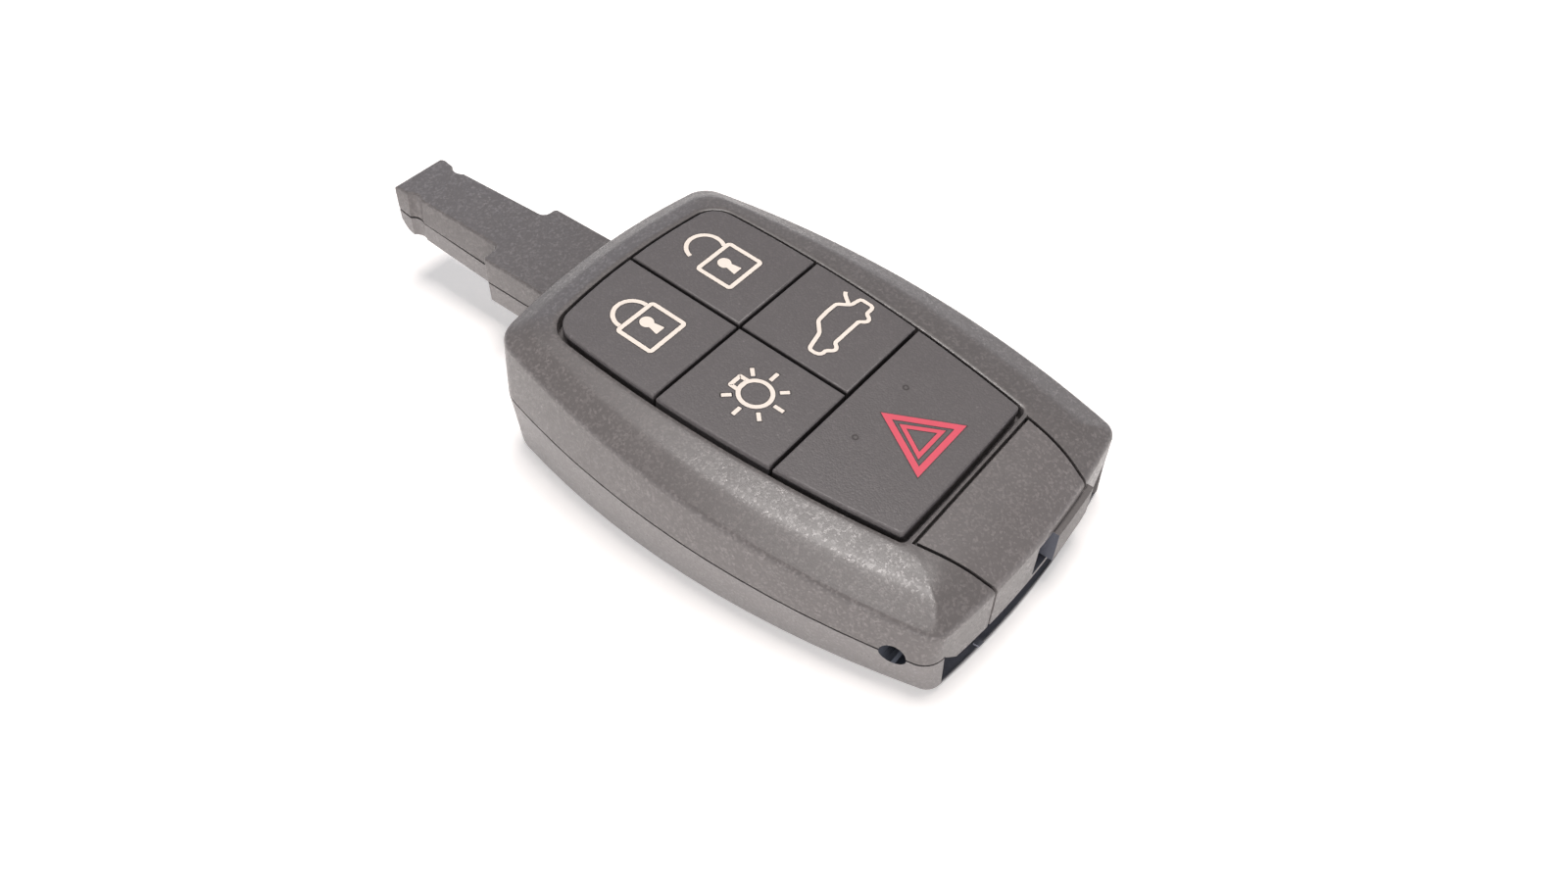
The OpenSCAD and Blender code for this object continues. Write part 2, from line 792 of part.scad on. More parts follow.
module circuit_board() color("#1f5a35") seat() {
    difference() {
        key_slab(room(board_in), board_low, board_top);
        at_bosses(board_low - 1)
            cylinder(d = screw_d + 2 * slide_gap, h = board_t + 2);
    }
}

// Push switch: a square case and a round button
module push_switch(i) color("#2c2c2e") seat() {
    at_key(i, board_top) {
        box(-switch_w / 2, switch_w / 2, -switch_w / 2, switch_w / 2, 0, switch_h);
        cylinder(d = switch_pin_d, h = switch_h + switch_pin_h);
    }
}
module lock_switch() push_switch(LOCK);
module unlock_switch() push_switch(UNLOCK);
module light_switch() push_switch(LIGHT);
module trunk_switch() push_switch(TRUNK);
module hazard_switch() push_switch(HAZARD);

// Square chip under the board with legs on two sides
module chip(x, w) color("#232325") seat() {
    leg = 0.3;
    pitch = 0.8;
    count = floor(w / pitch) - 1;
    on_keys(board_low - chip_h)
        translate([x, row_2_y - w / 2, 0]) {
            box(-w / 2, w / 2, -w / 2, w / 2, 0, chip_h - leg / 2);
            for (s = [-1, 1], i = [0:count])
                translate([s * w / 2, (i - count / 2) * pitch, chip_h - leg])
                    box(-leg * 2, leg * 2, -leg / 2, leg / 2, 0, leg);
        }
}
module controller_chip() chip(-chip_x, controller_w);
module radio_chip() chip(chip_x, radio_w);
module crystal() color(steel) seat() {
    crystal_h = 0.8;
    on_keys(board_low - crystal_h)
        translate([0, row_2_y - crystal_l / 2, 0])
            box(-crystal_l * 0.4, crystal_l * 0.4, -crystal_l / 2, crystal_l / 2, 0, crystal_h);
}

// Antenna strip on edge along the right side of the board
module antenna() color("#c9a35a") seat() {
    edge = board_in + strip_in;
    intersection() {
        difference() {
            key_slab(room(edge), board_top, board_top + antenna_h);
            key_slab(room(edge + antenna_t), board_top - 1, board_top + antenna_h + 1);
        }
        box(0, half_w, row_2_y, row_1_y, -far, far);
    }
}

// Coin cell: a can with round lower edges and a stepped cap on top
module coin_cell() color(steel) seat() {
    r = cell_d / 2;
    bend = 0.3;
    cap_h = 0.35;
    on_keys(cell_low)
        translate([0, cell_y, 0])
            rotate_extrude($fn = 96)
                polygon([[0, 0], [r - bend, 0], [r, bend], [r, cell_t - cap_h - bend],
                    [r - bend, cell_t - cap_h], [r - 1.4, cell_t - cap_h], [r - 1.6, cell_t], [0, cell_t]]);
}
// Side contacts: a foot under the board and a leg along the can
module contact_positive() color("#d2c9a8") seat() {
    foot = 2.2;
    leg_x = cell_d / 2 + seat_gap;
    on_keys()
        for (s = [-1, 1])
            translate([0, cell_y + contact_w / 2, 0])
                rotate([90, 0, 0])
                    linear_extrude(contact_w)
                        polygon([[s * leg_x, board_low], [s * (leg_x + foot), board_low],
                            [s * (leg_x + foot), board_low - contact_t],
                            [s * (leg_x + contact_t), board_low - contact_t],
                            [s * (leg_x + contact_t), cell_low + cell_t / 3],
                            [s * leg_x, cell_low + cell_t / 3]]);
}
// Spring finger between the board and the cap of the cell
module contact_negative() color("#d2c9a8") seat() {
    foot = 3;
    reach = 7;
    finger_w = 3;
    dip = cell_space - contact_t - seat_gap;
    on_keys(board_low)
        translate([-finger_w / 2, cell_y - reach / 2, 0])
            rotate([90, 0, 90])
                linear_extrude(finger_w)
                    polygon([[0, 0], [foot, 0], [reach - 1, -dip], [reach, -dip + contact_t / 2],
                        [reach, -dip - contact_t / 2], [reach - 1, -dip - contact_t],
                        [foot, -contact_t], [0, -contact_t]]);
}

module coil_core() color("#4a4a4c") seat() {
    translate([0, coil_y + core_l / 2, coil_z])
        rotate([90, 0, 0])
            cylinder(d = core_d, h = core_l);
}
// Bobbin: a tube round the rod and a square flange at each end of the winding
module coil_bobbin() color("#c8c2b4") seat() {
    end_w = neck_w - nose_wall - 4 * seat_gap;
    end_h = nose_room_up + nose_room_down - 4 * seat_gap;
    translate([0, coil_y, coil_z])
        rotate([90, 0, 0])
            difference() {
                union() {
                    cylinder(d = coil_bore + 2 * coil_tube_t, h = winding_l, center = true);
                    for (s = [-1, 1])
                        translate([0, 0, s * (winding_l + bobbin_end_t) / 2])
                            cube([end_w, end_h, bobbin_end_t], center = true);
                }
                cylinder(d = coil_bore, h = far, center = true);
            }
}
module coil_winding() color("#b4743a") seat() {
    inner = coil_bore + 2 * coil_tube_t + seat_gap;
    translate([0, coil_y, coil_z])
        rotate([90, 0, 0])
            difference() {
                cylinder(d = inner + 2 * winding_t, h = winding_l - 2 * seat_gap, center = true);
                cylinder(d = inner, h = far, center = true);
            }
}
// Leads from the rear flange of the bobbin to the lower side of the board
module coil_leads() color("#b4743a") seat() {
    y0 = (cell_y + cell_d / 2) * cos(key_tilt) - cell_low * sin(key_tilt) + lead_space;
    y1 = coil_y - winding_l / 2 - bobbin_end_t;
    z0 = coil_z + lead_t;
    for (s = [-1, 1])
        intersection() {
            translate([s * lead_x - lead_w / 2, 0, 0])
                rotate([90, 0, 90])
                    linear_extrude(lead_w)
                        polygon([[y0, far], [y0, z0], [y1, z0], [y1, z0 + lead_t],
                            [y0 + lead_t, z0 + lead_t], [y0 + lead_t, far]]);
            on_keys(board_low)
                box(-half_w, half_w, -far, far, -far, 0);
        }
}

// Screws from below through the board into the bosses, with a cross recess
module board_screws() color(steel) seat() {
    head_h = 1.2;
    cut = 0.5;
    at_bosses(board_low)
        difference() {
            union() {
                translate([0, 0, -head_h])
                    cylinder(d = screw_head_d, h = head_h);
                cylinder(d = screw_d, h = screw_l);
            }
            for (a = [0, 90])
                rotate([0, 0, a])
                    box(-screw_head_d / 3, screw_head_d / 3, -cut / 2, cut / 2, -2 * head_h, cut - head_h);
        }
}

module seal_ring() color("#2a2a2c") seat() {
    translate([0, 0, -seal_w])
        linear_extrude(seal_w - seat_gap)
            difference() {
                polygon(room(-seal_w + seat_gap));
                polygon(room(seat_gap));
            }
}

// Catch: the face in the end wall, the slide behind it and the tooth that holds the blade
module catch() color(plastic) seat() {
    lap = 0.01;
    intersection() {
        box(catch_left, catch_right, -far, -slide_rear, -catch_down, catch_up);
        translate([0, 0, -far])
            linear_extrude(2 * far)
                polygon(housing(-catch_proud));
    }
    box(slide_left, catch_right, -slide_rear - lap, -slide_rear + slide_d, slide_low, slide_top);
    translate([slide_left + lap, spring_y, spring_z])
        rotate([0, -90, 0])
            cylinder(d = peg_d, h = peg_l);
    on_base()
        tooth(0, 0);
}
// Tooth through the roof of the slot, with travel to the left and room round it
module tooth(travel, room_d) {
    box(catch_right - 3 * tooth_w / 2 - travel - room_d, catch_right - tooth_w / 2 + room_d,
        spring_y - tooth_d / 2 - room_d, spring_y + tooth_d / 2 + room_d,
        slot_top - tooth_reach, roof_top + tooth_reach);
}
// Lug on the roof of the slot, with the peg that carries the far end of the spring
module spring_stop() {
    lug_t = 1.4;
    lap = 0.01;
    x = slide_left - spring_l - seat_gap;
    roof_z = -base_h - spring_y * tan(base_tilt) + slot_top + roof_t / 2;
    box(x - lug_t, x, spring_y - spring_d / 2, spring_y + spring_d / 2, roof_z, slide_top);
    translate([x - lap, spring_y, spring_z])
        rotate([0, 90, 0])
            cylinder(d = peg_d, h = peg_l);
}

// Compression spring of the catch, swept as one tube along its helix
module catch_spring() color(steel) seat() {
    steps = 8 * spring_turns;
    sides = 6;
    r = spring_d / 2;
    rise = spring_l - spring_wire - 2 * seat_gap;
    x0 = slide_left - spring_l + spring_wire / 2;
    rings = [for (i = [0:steps])
        let (a = 360 * spring_turns * i / steps, x = x0 + rise * i / steps)
        [for (k = [0:sides - 1])
            let (b = 360 * k / sides, q = r + spring_wire / 2 * cos(b))
            [x + spring_wire / 2 * sin(b), spring_y + q * cos(a), spring_z + q * sin(a)]]];
    gap = rise / spring_turns - spring_wire;
    echo(least_spring_gap = gap);
    loft(rings);
}

upper_shell();
lower_shell();
end_panel();
lock_button();
unlock_button();
light_button();
trunk_button();
hazard_button();
keypad_mat();
circuit_board();
lock_switch();
unlock_switch();
light_switch();
trunk_switch();
hazard_switch();
controller_chip();
radio_chip();
crystal();
antenna();
coin_cell();
contact_positive();
contact_negative();
coil_core();
coil_bobbin();
coil_winding();
coil_leads();
board_screws();
seal_ring();
catch();
catch_spring();
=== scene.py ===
import json
import math

import bmesh
import bpy
from mathutils import Matrix, Vector

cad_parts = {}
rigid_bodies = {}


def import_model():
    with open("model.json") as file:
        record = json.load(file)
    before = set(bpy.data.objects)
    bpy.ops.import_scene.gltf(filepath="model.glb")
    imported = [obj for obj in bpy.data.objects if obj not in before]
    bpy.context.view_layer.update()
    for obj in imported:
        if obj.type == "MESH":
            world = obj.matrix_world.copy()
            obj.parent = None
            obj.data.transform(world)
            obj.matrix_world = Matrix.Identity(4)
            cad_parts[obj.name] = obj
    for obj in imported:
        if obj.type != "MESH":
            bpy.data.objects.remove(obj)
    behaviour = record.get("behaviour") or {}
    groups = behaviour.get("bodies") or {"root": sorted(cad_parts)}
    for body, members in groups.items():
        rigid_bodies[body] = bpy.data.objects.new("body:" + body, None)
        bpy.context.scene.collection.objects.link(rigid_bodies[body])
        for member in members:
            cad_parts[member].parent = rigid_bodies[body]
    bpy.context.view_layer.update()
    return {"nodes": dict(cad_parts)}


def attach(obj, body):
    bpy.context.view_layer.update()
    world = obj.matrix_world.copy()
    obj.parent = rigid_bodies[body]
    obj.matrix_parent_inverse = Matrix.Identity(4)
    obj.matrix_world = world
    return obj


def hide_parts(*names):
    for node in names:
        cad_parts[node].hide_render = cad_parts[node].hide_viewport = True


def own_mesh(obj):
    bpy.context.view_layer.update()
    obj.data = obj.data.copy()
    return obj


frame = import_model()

MM = 0.001
KEY_NAMES = ("lock", "unlock", "light", "trunk", "hazard")

# Frames of the fob: the key face and the parting plane
KEY_TILT = math.radians(7.05)
KEY_ORIGIN = Vector((0, -15.632, 14.676)) * MM
ON_KEYS = Matrix.Translation(KEY_ORIGIN) @ Matrix.Rotation(KEY_TILT, 4, "X")
SPLIT_TILT = math.radians(3.3)
SPLIT_ORIGIN = Vector((0, -15.166, 6.589)) * MM
ON_SPLIT = Matrix.Translation(SPLIT_ORIGIN) @ Matrix.Rotation(SPLIT_TILT, 4, "X")

# Colours of the finishes, linear; some hold painted light or painted shade, as marked below
SHELL_GREY = (0.126, 0.114, 0.111, 1)
# painted light: the panel is lighter than the shell for the light that falls on its top
LIT_PANEL_GREY = (0.147, 0.133, 0.130, 1)
# painted light: the lower moulding is lighter than the shell for the bounce light from the floor
LIT_BASE_GREY = (0.180, 0.166, 0.163, 1)
KEY_GREY = (0.110, 0.099, 0.099, 1)
SIGN_CREAM = (0.90, 0.80, 0.71, 1)
SIGN_RED = (0.74, 0.085, 0.13, 1)
# painted shade: dark plates under the signs and round the pips stand for the shade of a recess
RECESS_SHADE_GREY = (0.050, 0.042, 0.040, 1)
# painted shade: dark blue grey inside the strap hole
HOLE_SHADE_GREY = (0.080, 0.086, 0.105, 1)
# painted light: light blue grey inside the slot
SLOT_LIGHT_GREY = (0.220, 0.224, 0.262, 1)
# painted shade: dark blue grey in the catch window and on the left side of the catch
NOTCH_SHADE_GREY = (0.100, 0.104, 0.126, 1)
# painted highlight: pale grey of the bead along the lip
LIP_HIGHLIGHT_GREY = (0.36, 0.355, 0.36, 1)
MAT_GREY = (0.10, 0.105, 0.11, 1)
SEAL_BLACK = (0.02, 0.02, 0.022, 1)
SWITCH_BLACK = (0.03, 0.03, 0.032, 1)
CHIP_BLACK = (0.02, 0.02, 0.021, 1)
FERRITE_GREY = (0.06, 0.06, 0.065, 1)
BOBBIN_CREAM = (0.6, 0.56, 0.48, 1)
STEEL_GREY = (0.55, 0.56, 0.58, 1)
BRASS_YELLOW = (0.62, 0.47, 0.22, 1)
WIRE_COPPER = (0.55, 0.22, 0.09, 1)
LEAD_COPPER = (0.60, 0.26, 0.12, 1)
BOARD_GREEN = (0.02, 0.10, 0.04, 1)
FLOOR_CREAM = (0.92, 0.875, 0.85, 1)
ROOM_BLUE = (0.95, 0.98, 1.05, 1)

# Signs on the keys, in millimetres on the key face
STROKE = 0.5
BULB_STROKE = 0.48
RAY_STROKE = 0.45
CAR_STROKE = 0.46
TRIANGLE_STROKE = 0.68
INNER_STROKE = 0.46
SIGN_CORNER = 0.3
SMALL_CORNER = 0.06
KEYHOLE_R = 0.77
LEG_TOP = 0.4
LEG_FOOT = 1.9
LEG_TOP_W = 0.36
LEG_FOOT_W = 0.64
LEG_CORNER = 0.14
BULB_X = -6.15
BULB_Y = 1.83
BULB_R = 1.74
RAY_Y = 1.82
PIP_Y = -8.93
PIP_XS = (-4.0, 4.73)
PIP_RING_R = 0.28
PIP_RING_W = 0.2
PIP_R = 0.16
SIGN_H = 0.03
BED_H = 0.012
BED_GROW = 0.1
LAYER = 0.003

# Housing, in millimetres from its widest place on the parting plane
HALF_W = 20
NOSE_END = 29.4
REAR_END = 28.75
SIDE_R = 110
NOSE_END_R = 85
REAR_END_R = 100
NOSE_CORNER_R = 3.5
REAR_CORNER_R = 2
FLARE = 0.4
WALL = 1.7
END_WALL = 1.4
TOP_H = 8.1
FACE_TILT = KEY_TILT - SPLIT_TILT
EDGE_DROP = 1.9
EDGE_R = 0.8
EDGE_TURN = 68
TOP_WALL = 1.6
SEAM = 0.25
GROOVE_D = 0.35
GROOVE_H = 0.2
GROOVE_R = 0.05
SMALL_R = 0.4
STRAIGHT_R = 400
HAIR = 0.01
EASE = 0.1
FAR = 40

# Bezel and key field, on the key face
RIM_DROP = 0.45
RIM_T = 1.6
RIM_W = 0.9
RIM_ROUND = 0.2
RIM_MID = 0.3 * RIM_ROUND
CROWN = 0.36
RIDGE = 0.11
REAR_ROLL = 3
RIDGE_MIX = 6
RIDGE_BLEND = 0.08
FIELD_HALF_W = 13.35
FIELD_MID = 10.6
FIELD_FRONT = 24.2
FIELD_REAR = 19.4
FIELD_SIDE_R = 161
FIELD_FRONT_R = 79
FIELD_CORNER_R = 3
KEY_GAP = 0.4
LIP_EASE = 0.16
KEY_EDGE_R = 0.22
FLANGE_ROOM = 0.95
WELL_OVER = 1.2
WELL_LOW = -3.45

# Rear end: panel, bulkhead, foot of the end wall, strap hole, screw bosses
PANEL_T = 1
PANEL_GAP = 0.38
PANEL_OVER = 3
BAR_W = 0.5
BULKHEAD = 16.4
REAR_ROOM = 18
BULKHEAD_X = 17.6
APRON_X = 14.85
APRON_Z = -1.842
APRON_TOP = 4 * SEAM
APRON_UP = 4
APRON_DEEP = 4
LIP_X = 14.95
LIP_Y = -43.71
LIP_R = 98.65
LIP_SECTION = [(0.22, 0.44), (0.22, 0.52), (0.17, 0.56), (0.07, 0.56), (0.02, 0.52), (0.02, 0.44)]
WINDOW_LEFT = -0.9
WINDOW_RIGHT = 9.45
WINDOW_LOW = -1.25
WINDOW_TOP = 3.05
SLOT_X = 15.05
SLOT_IN = -18
SLOT_LOW = 0.4
SLOT_HIGH = 3.2
STRAP_D = 2.7
STRAP_Y = -23.7
STRAP_DEEP = 6.6
STRAP_MOUTH = 3.2
STRAP_REACH = 8
STRAP_SHADE = 0.8 * STRAP_D
CATCH_LEFT = 1.85
CATCH_EDGE_R = 0.2
BOSS_X = 15.8
BOSS_Y = -9
BOSS_D = 3.8
BOSS_TOP = -2.8
SCREW_D = 1.95
SCREW_DEEP = 3.5
BOARD_TOP = -6.25

# Nose
NOSE_W = 11.9
SHAFT_W = 8.1
NECK_W = 6.4
HEAD_W = 7.5
HEAD_SHIFT = 0.25
HEAD_RIGHT_R = 1.2
HEAD_LEFT_R = 0.4
BEVEL_W = 0.7
SHOULDER_Y = 42
NECK_Y = 56.3
NECK_R = 1.6
NECK_TURN = 48
NECK_LEAN = 0.4
NOSE_WALL = 1.3
NECK_WALL = 0.65
ROOT_IN = 4
TIP_Y = 60
TIP_R = 2.4
TIP_LEAN = 0.35
NOSE_UP = 3.6
NOSE_TURN = 0.6
NOSE_FILLET = 0.9
NOSE_ROUND = 0.3

# Floor and room: glow of the floor near the fob, light from the horizon and from above, sizes in metres
FLOOR_HALF = 3
FLOOR_GLOW = 0.38
FLOOR_MIRROR = 0.48
GLOW_NEAR = 0.08
GLOW_FAR = 0.5
FLOOR_LOW = 0.03 * MM
HORIZON_LIGHT = 1.1
OVERHEAD_LIGHT = 0.08
LIGHT_FALL = 0.62

# Steps along the outlines and over the edges
END_STEPS = 12
CORNER_STEPS = 10
SIDE_STEPS = 40
TURN_STEPS = 8
BEZEL_STEPS = 14
WALL_STEPS = 4
NOSE_STEPS = 5
PANEL_STEPS = 12
LIP_STEPS = 24
ROD_SIDES = 32

# Distances within which points are one, in millimetres
LEVEL = 0.01
WELD = 0.002
RIBBON_WELD = 0.001
LOFT_WELD = 0.0005

# Turns in degrees: flat faces made one, edges of the seam, sharp edges of the catch
FLAT_TURN = 0.4
SEAM_TURN = 60
CATCH_TURN = 40

# Finishes of a moulding's faces, by their place in its list of materials: painted shade in the strap hole and
# the catch window, painted light in the slot, a smoother finish on upright walls
IN_HOLE = 1
IN_SLOT = 2
IN_WINDOW = 3
ON_WALL = 4

# Limits on the parts of a face's normal
UPRIGHT = 0.4
OUTWARD = 0.2
FACES_REAR = -0.3
FACES_SIDE = 0.5


# Shader node groups

def new_group(name, inputs, outputs):
    """Shader node group with named float, vector and colour sockets"""
    tree = bpy.data.node_groups.new(name, "ShaderNodeTree")
    for socket, kind, value in inputs:
        made = tree.interface.new_socket(name=socket, in_out="INPUT", socket_type=kind)
        if value is not None:
            made.default_value = value
    for socket, kind in outputs:
        tree.interface.new_socket(name=socket, in_out="OUTPUT", socket_type=kind)
    start = tree.nodes.new("NodeGroupInput")
    end = tree.nodes.new("NodeGroupOutput")
    return tree, start, end


def math_node(tree, operation, first, second=None, clamp=False):
    """Math node fed by sockets or plain numbers; returns its output socket"""
    node = tree.nodes.new("ShaderNodeMath")
    node.operation = operation
    node.use_clamp = clamp
    for slot, value in enumerate((first, second)):
        if value is None:
            continue
        if isinstance(value, (int, float)):
            node.inputs[slot].default_value = value
        else:
            tree.links.new(value, node.inputs[slot])
    return node.outputs[0]


def noise_node(tree, vector, scale, detail, roughness=0.5):
    """Noise texture; scale is a number or a socket"""
    node = tree.nodes.new("ShaderNodeTexNoise")
    node.inputs["Detail"].default_value = detail
    node.inputs["Roughness"].default_value = roughness
    if isinstance(scale, (int, float)):
        node.inputs["Scale"].default_value = scale
    else:
        tree.links.new(scale, node.inputs["Scale"])
    tree.links.new(vector, node.inputs["Vector"])
    return node.outputs["Fac"]


def span_node(tree, value, low, high, out_low=0.0, out_high=1.0):
    """Map a value from one span to another, clamped"""
    node = tree.nodes.new("ShaderNodeMapRange")
    node.inputs["From Min"].default_value = low
    node.inputs["From Max"].default_value = high
    node.inputs["To Min"].default_value = out_low
    node.inputs["To Max"].default_value = out_high
    tree.links.new(value, node.inputs["Value"])
    return node.outputs["Result"]


def make_spark_grain():
    """Spark eroded grain of moulded plastic: height of the grain and a mask of its bright grains, which the
    plastics use for gloss and for painted glints
    """
    tree, start, end = new_group(
        "spark_grain",
        [("Vector", "NodeSocketVector", None), ("Scale", "NodeSocketFloat", 5200)],
        [("Height", "NodeSocketFloat"), ("Grains", "NodeSocketFloat")],
    )
    vector = start.outputs["Vector"]
    scale = start.outputs["Scale"]
    fine = noise_node(tree, vector, scale, detail=2, roughness=0.6)
    coarse = noise_node(tree, vector, math_node(tree, "MULTIPLY", scale, 0.36), detail=1)
    cells = tree.nodes.new("ShaderNodeTexVoronoi")
    tree.links.new(vector, cells.inputs["Vector"])
    tree.links.new(scale, cells.inputs["Scale"])
    pebble = math_node(tree, "SUBTRACT", 1.0, cells.outputs["Distance"])
    height = math_node(tree, "ADD", math_node(tree, "MULTIPLY", fine, 0.5),
                       math_node(tree, "MULTIPLY", pebble, 0.4))
    height = math_node(tree, "ADD", height, math_node(tree, "MULTIPLY", coarse, 0.2))
    tree.links.new(height, end.inputs["Height"])
    split = tree.nodes.new("ShaderNodeSeparateColor")
    tree.links.new(cells.outputs["Color"], split.inputs["Color"])
    chosen = span_node(tree, split.outputs["Red"], 0.55, 1.0)
    patchy = math_node(tree, "MULTIPLY", chosen, span_node(tree, coarse, 0.3, 0.7, 0.45, 1.0))
    tree.links.new(patchy, end.inputs["Grains"])
    return tree


def make_tone_drift():
    """Slow drift of tone over a moulding, round 1, and faint cloudy handling marks"""
    tree, start, end = new_group(
        "tone_drift",
        [("Vector", "NodeSocketVector", None), ("Amount", "NodeSocketFloat", 0.06)],
        [("Tone", "NodeSocketFloat"), ("Clouds", "NodeSocketFloat")],
    )
    vector = start.outputs["Vector"]
    slow = noise_node(tree, vector, scale=70, detail=2)
    quick = noise_node(tree, vector, scale=420, detail=3, roughness=0.6)
    mixed = math_node(tree, "ADD", math_node(tree, "MULTIPLY", slow, 1.2),
                      math_node(tree, "MULTIPLY", quick, 0.8))
    centred = math_node(tree, "SUBTRACT", mixed, 1.0)
    scaled = math_node(tree, "MULTIPLY", centred, start.outputs["Amount"])
    tree.links.new(math_node(tree, "ADD", scaled, 1.0), end.inputs["Tone"])
    tree.links.new(span_node(tree, quick, 0.45, 0.75), end.inputs["Clouds"])
    return tree


def make_dust_specks():
    """Sparse pale specks of dust and tiny rubs"""
    tree, start, end = new_group(
        "dust_specks",
        [("Vector", "NodeSocketVector", None), ("Scale", "NodeSocketFloat", 800)],
        [("Mask", "NodeSocketFloat")],
    )
    cells = tree.nodes.new("ShaderNodeTexVoronoi")
    tree.links.new(start.outputs["Vector"], cells.inputs["Vector"])
    tree.links.new(start.outputs["Scale"], cells.inputs["Scale"])
    spot = span_node(tree, cells.outputs["Distance"], 0.05, 0.13, 1, 0)
    split = tree.nodes.new("ShaderNodeSeparateColor")
    tree.links.new(cells.outputs["Color"], split.inputs["Color"])
    chosen = math_node(tree, "GREATER_THAN", split.outputs["Red"], 0.82)
    tree.links.new(math_node(tree, "MULTIPLY", spot, chosen), end.inputs["Mask"])
    return tree


def make_drawn_lines():
    """Fine lines drawn along one way over metal"""
    tree, start, end = new_group(
        "drawn_lines",
        [("Vector", "NodeSocketVector", None), ("Scale", "NodeSocketFloat", 900)],
        [("Lines", "NodeSocketFloat")],
    )
    stretch = tree.nodes.new("ShaderNodeMapping")
    stretch.inputs["Scale"].default_value = (1, 0.04, 1)
    tree.links.new(start.outputs["Vector"], stretch.inputs["Vector"])
    lines = noise_node(tree, stretch.outputs["Vector"], start.outputs["Scale"], detail=3, roughness=0.6)
    tree.links.new(lines, end.inputs["Lines"])
    return tree


SPARK_GRAIN = make_spark_grain()
TONE_DRIFT = make_tone_drift()
DUST_SPECKS = make_dust_specks()
DRAWN_LINES = make_drawn_lines()


# Materials

def new_material(name):
    """Empty node material; returns it with its tree, shader and object coordinates"""
    material = bpy.data.materials.new(name)
    material.use_nodes = True
    tree = material.node_tree
    shader = tree.nodes["Principled BSDF"]
    place = tree.nodes.new("ShaderNodeTexCoord")
    return material, tree, shader, place.outputs["Object"]


def group_node(tree, group, vector, **values):
    """Place a shared group in a material with its own values"""
    node = tree.nodes.new("ShaderNodeGroup")
    node.node_tree = group
    tree.links.new(vector, node.inputs["Vector"])
    for name, value in values.items():
        node.inputs[name].default_value = value
    return node


def mix_colour(tree, factor, first, second, blend="MIX"):
    """Mix two colours, each a socket or a plain colour"""
    node = tree.nodes.new("ShaderNodeMix")
    node.data_type = "RGBA"
    node.blend_type = blend
    node.clamp_factor = True
    for socket, value in ((node.inputs[0], factor), (node.inputs[6], first), (node.inputs[7], second)):
        if isinstance(value, (int, float, tuple)):
            socket.default_value = value
        else:
            tree.links.new(value, socket)
    return node.outputs[2]


def shaded(colour, share):
    """Colour made darker or lighter by a share"""
    return tuple(channel * share for channel in colour[:3]) + (1,)


def bump_node(tree, height, strength, distance):
    """Bump from a height; returns the normal socket"""
    node = tree.nodes.new("ShaderNodeBump")
    node.inputs["Strength"].default_value = strength
    node.inputs["Distance"].default_value = distance
    tree.links.new(height, node.inputs["Height"])
    return node.outputs["Normal"]


def moulded_plastic(name, colour, grain, depth, rough, grain_and_glint, drift=0.08, dust=0.35, shine=0.5):
    """Grained plastic: drifting tone, bright grains whose paler colour is partly painted glints, a little
    dust
    """
    material, tree, shader, place = new_material(name)
    grains = group_node(tree, SPARK_GRAIN, place, Scale=grain)
    tone = group_node(tree, TONE_DRIFT, place, Amount=drift)
    specks = group_node(tree, DUST_SPECKS, place)
    toned = mix_colour(tree, 1.0, colour, tone.outputs["Tone"], "MULTIPLY")
    # bright grains: partly grain, partly painted glints
    grain_and_glint_colour = mix_colour(tree, math_node(tree, "MULTIPLY", grains.outputs["Grains"], grain_and_glint),
                         toned, shaded(colour, 2.1))
    dusty = mix_colour(tree, math_node(tree, "MULTIPLY", specks.outputs["Mask"], dust),
                       grain_and_glint_colour, shaded(colour, 2.4))
    tree.links.new(dusty, shader.inputs["Base Color"])
    gloss = math_node(tree, "MULTIPLY", grains.outputs["Grains"], 0.16)
    haze = math_node(tree, "MULTIPLY", tone.outputs["Clouds"], 0.06)
    roughness = math_node(tree, "ADD", math_node(tree, "SUBTRACT", rough, gloss), haze)
    tree.links.new(roughness, shader.inputs["Roughness"])
    bump = bump_node(tree, grains.outputs["Height"], strength=0.7, distance=depth)
    tree.links.new(bump, shader.inputs["Normal"])
    shader.inputs["Specular IOR Level"].default_value = shine
    return material


def sign_paint(name, colour, rough):
    """Printed paint: slightly uneven, with thin places"""
    material, tree, shader, place = new_material(name)
    tone = group_node(tree, TONE_DRIFT, place, Amount=0.1)
    grains = group_node(tree, SPARK_GRAIN, place, Scale=6500)
    toned = mix_colour(tree, 1.0, colour, tone.outputs["Tone"], "MULTIPLY")
    thin = mix_colour(tree, math_node(tree, "MULTIPLY", grains.outputs["Grains"], 0.1),
                      toned, shaded(colour, 0.7))
    tree.links.new(thin, shader.inputs["Base Color"])
    uneven = math_node(tree, "ADD", rough, math_node(tree, "MULTIPLY", tone.outputs["Clouds"], 0.1))
    tree.links.new(uneven, shader.inputs["Roughness"])
    bump = bump_node(tree, grains.outputs["Height"], strength=0.2, distance=0.00001)
    tree.links.new(bump, shader.inputs["Normal"])
    return material


def metal(name, colour, rough, scale=900):
    """Drawn metal with fine lines and a little tarnish"""
    material, tree, shader, place = new_material(name)
    lines = group_node(tree, DRAWN_LINES, place, Scale=scale)
    tone = group_node(tree, TONE_DRIFT, place, Amount=0.25)
    toned = mix_colour(tree, 1.0, colour, tone.outputs["Tone"], "MULTIPLY")
    lined = mix_colour(tree, math_node(tree, "MULTIPLY", lines.outputs["Lines"], 0.3),
                       toned, shaded(colour, 0.6))
    tree.links.new(lined, shader.inputs["Base Color"])
    varied = math_node(tree, "ADD", rough, math_node(tree, "MULTIPLY", lines.outputs["Lines"], 0.2))
    tree.links.new(varied, shader.inputs["Roughness"])
    bump = bump_node(tree, lines.outputs["Lines"], strength=0.2, distance=0.00002)
    tree.links.new(bump, shader.inputs["Normal"])
    shader.inputs["Metallic"].default_value = 1.0
    return material


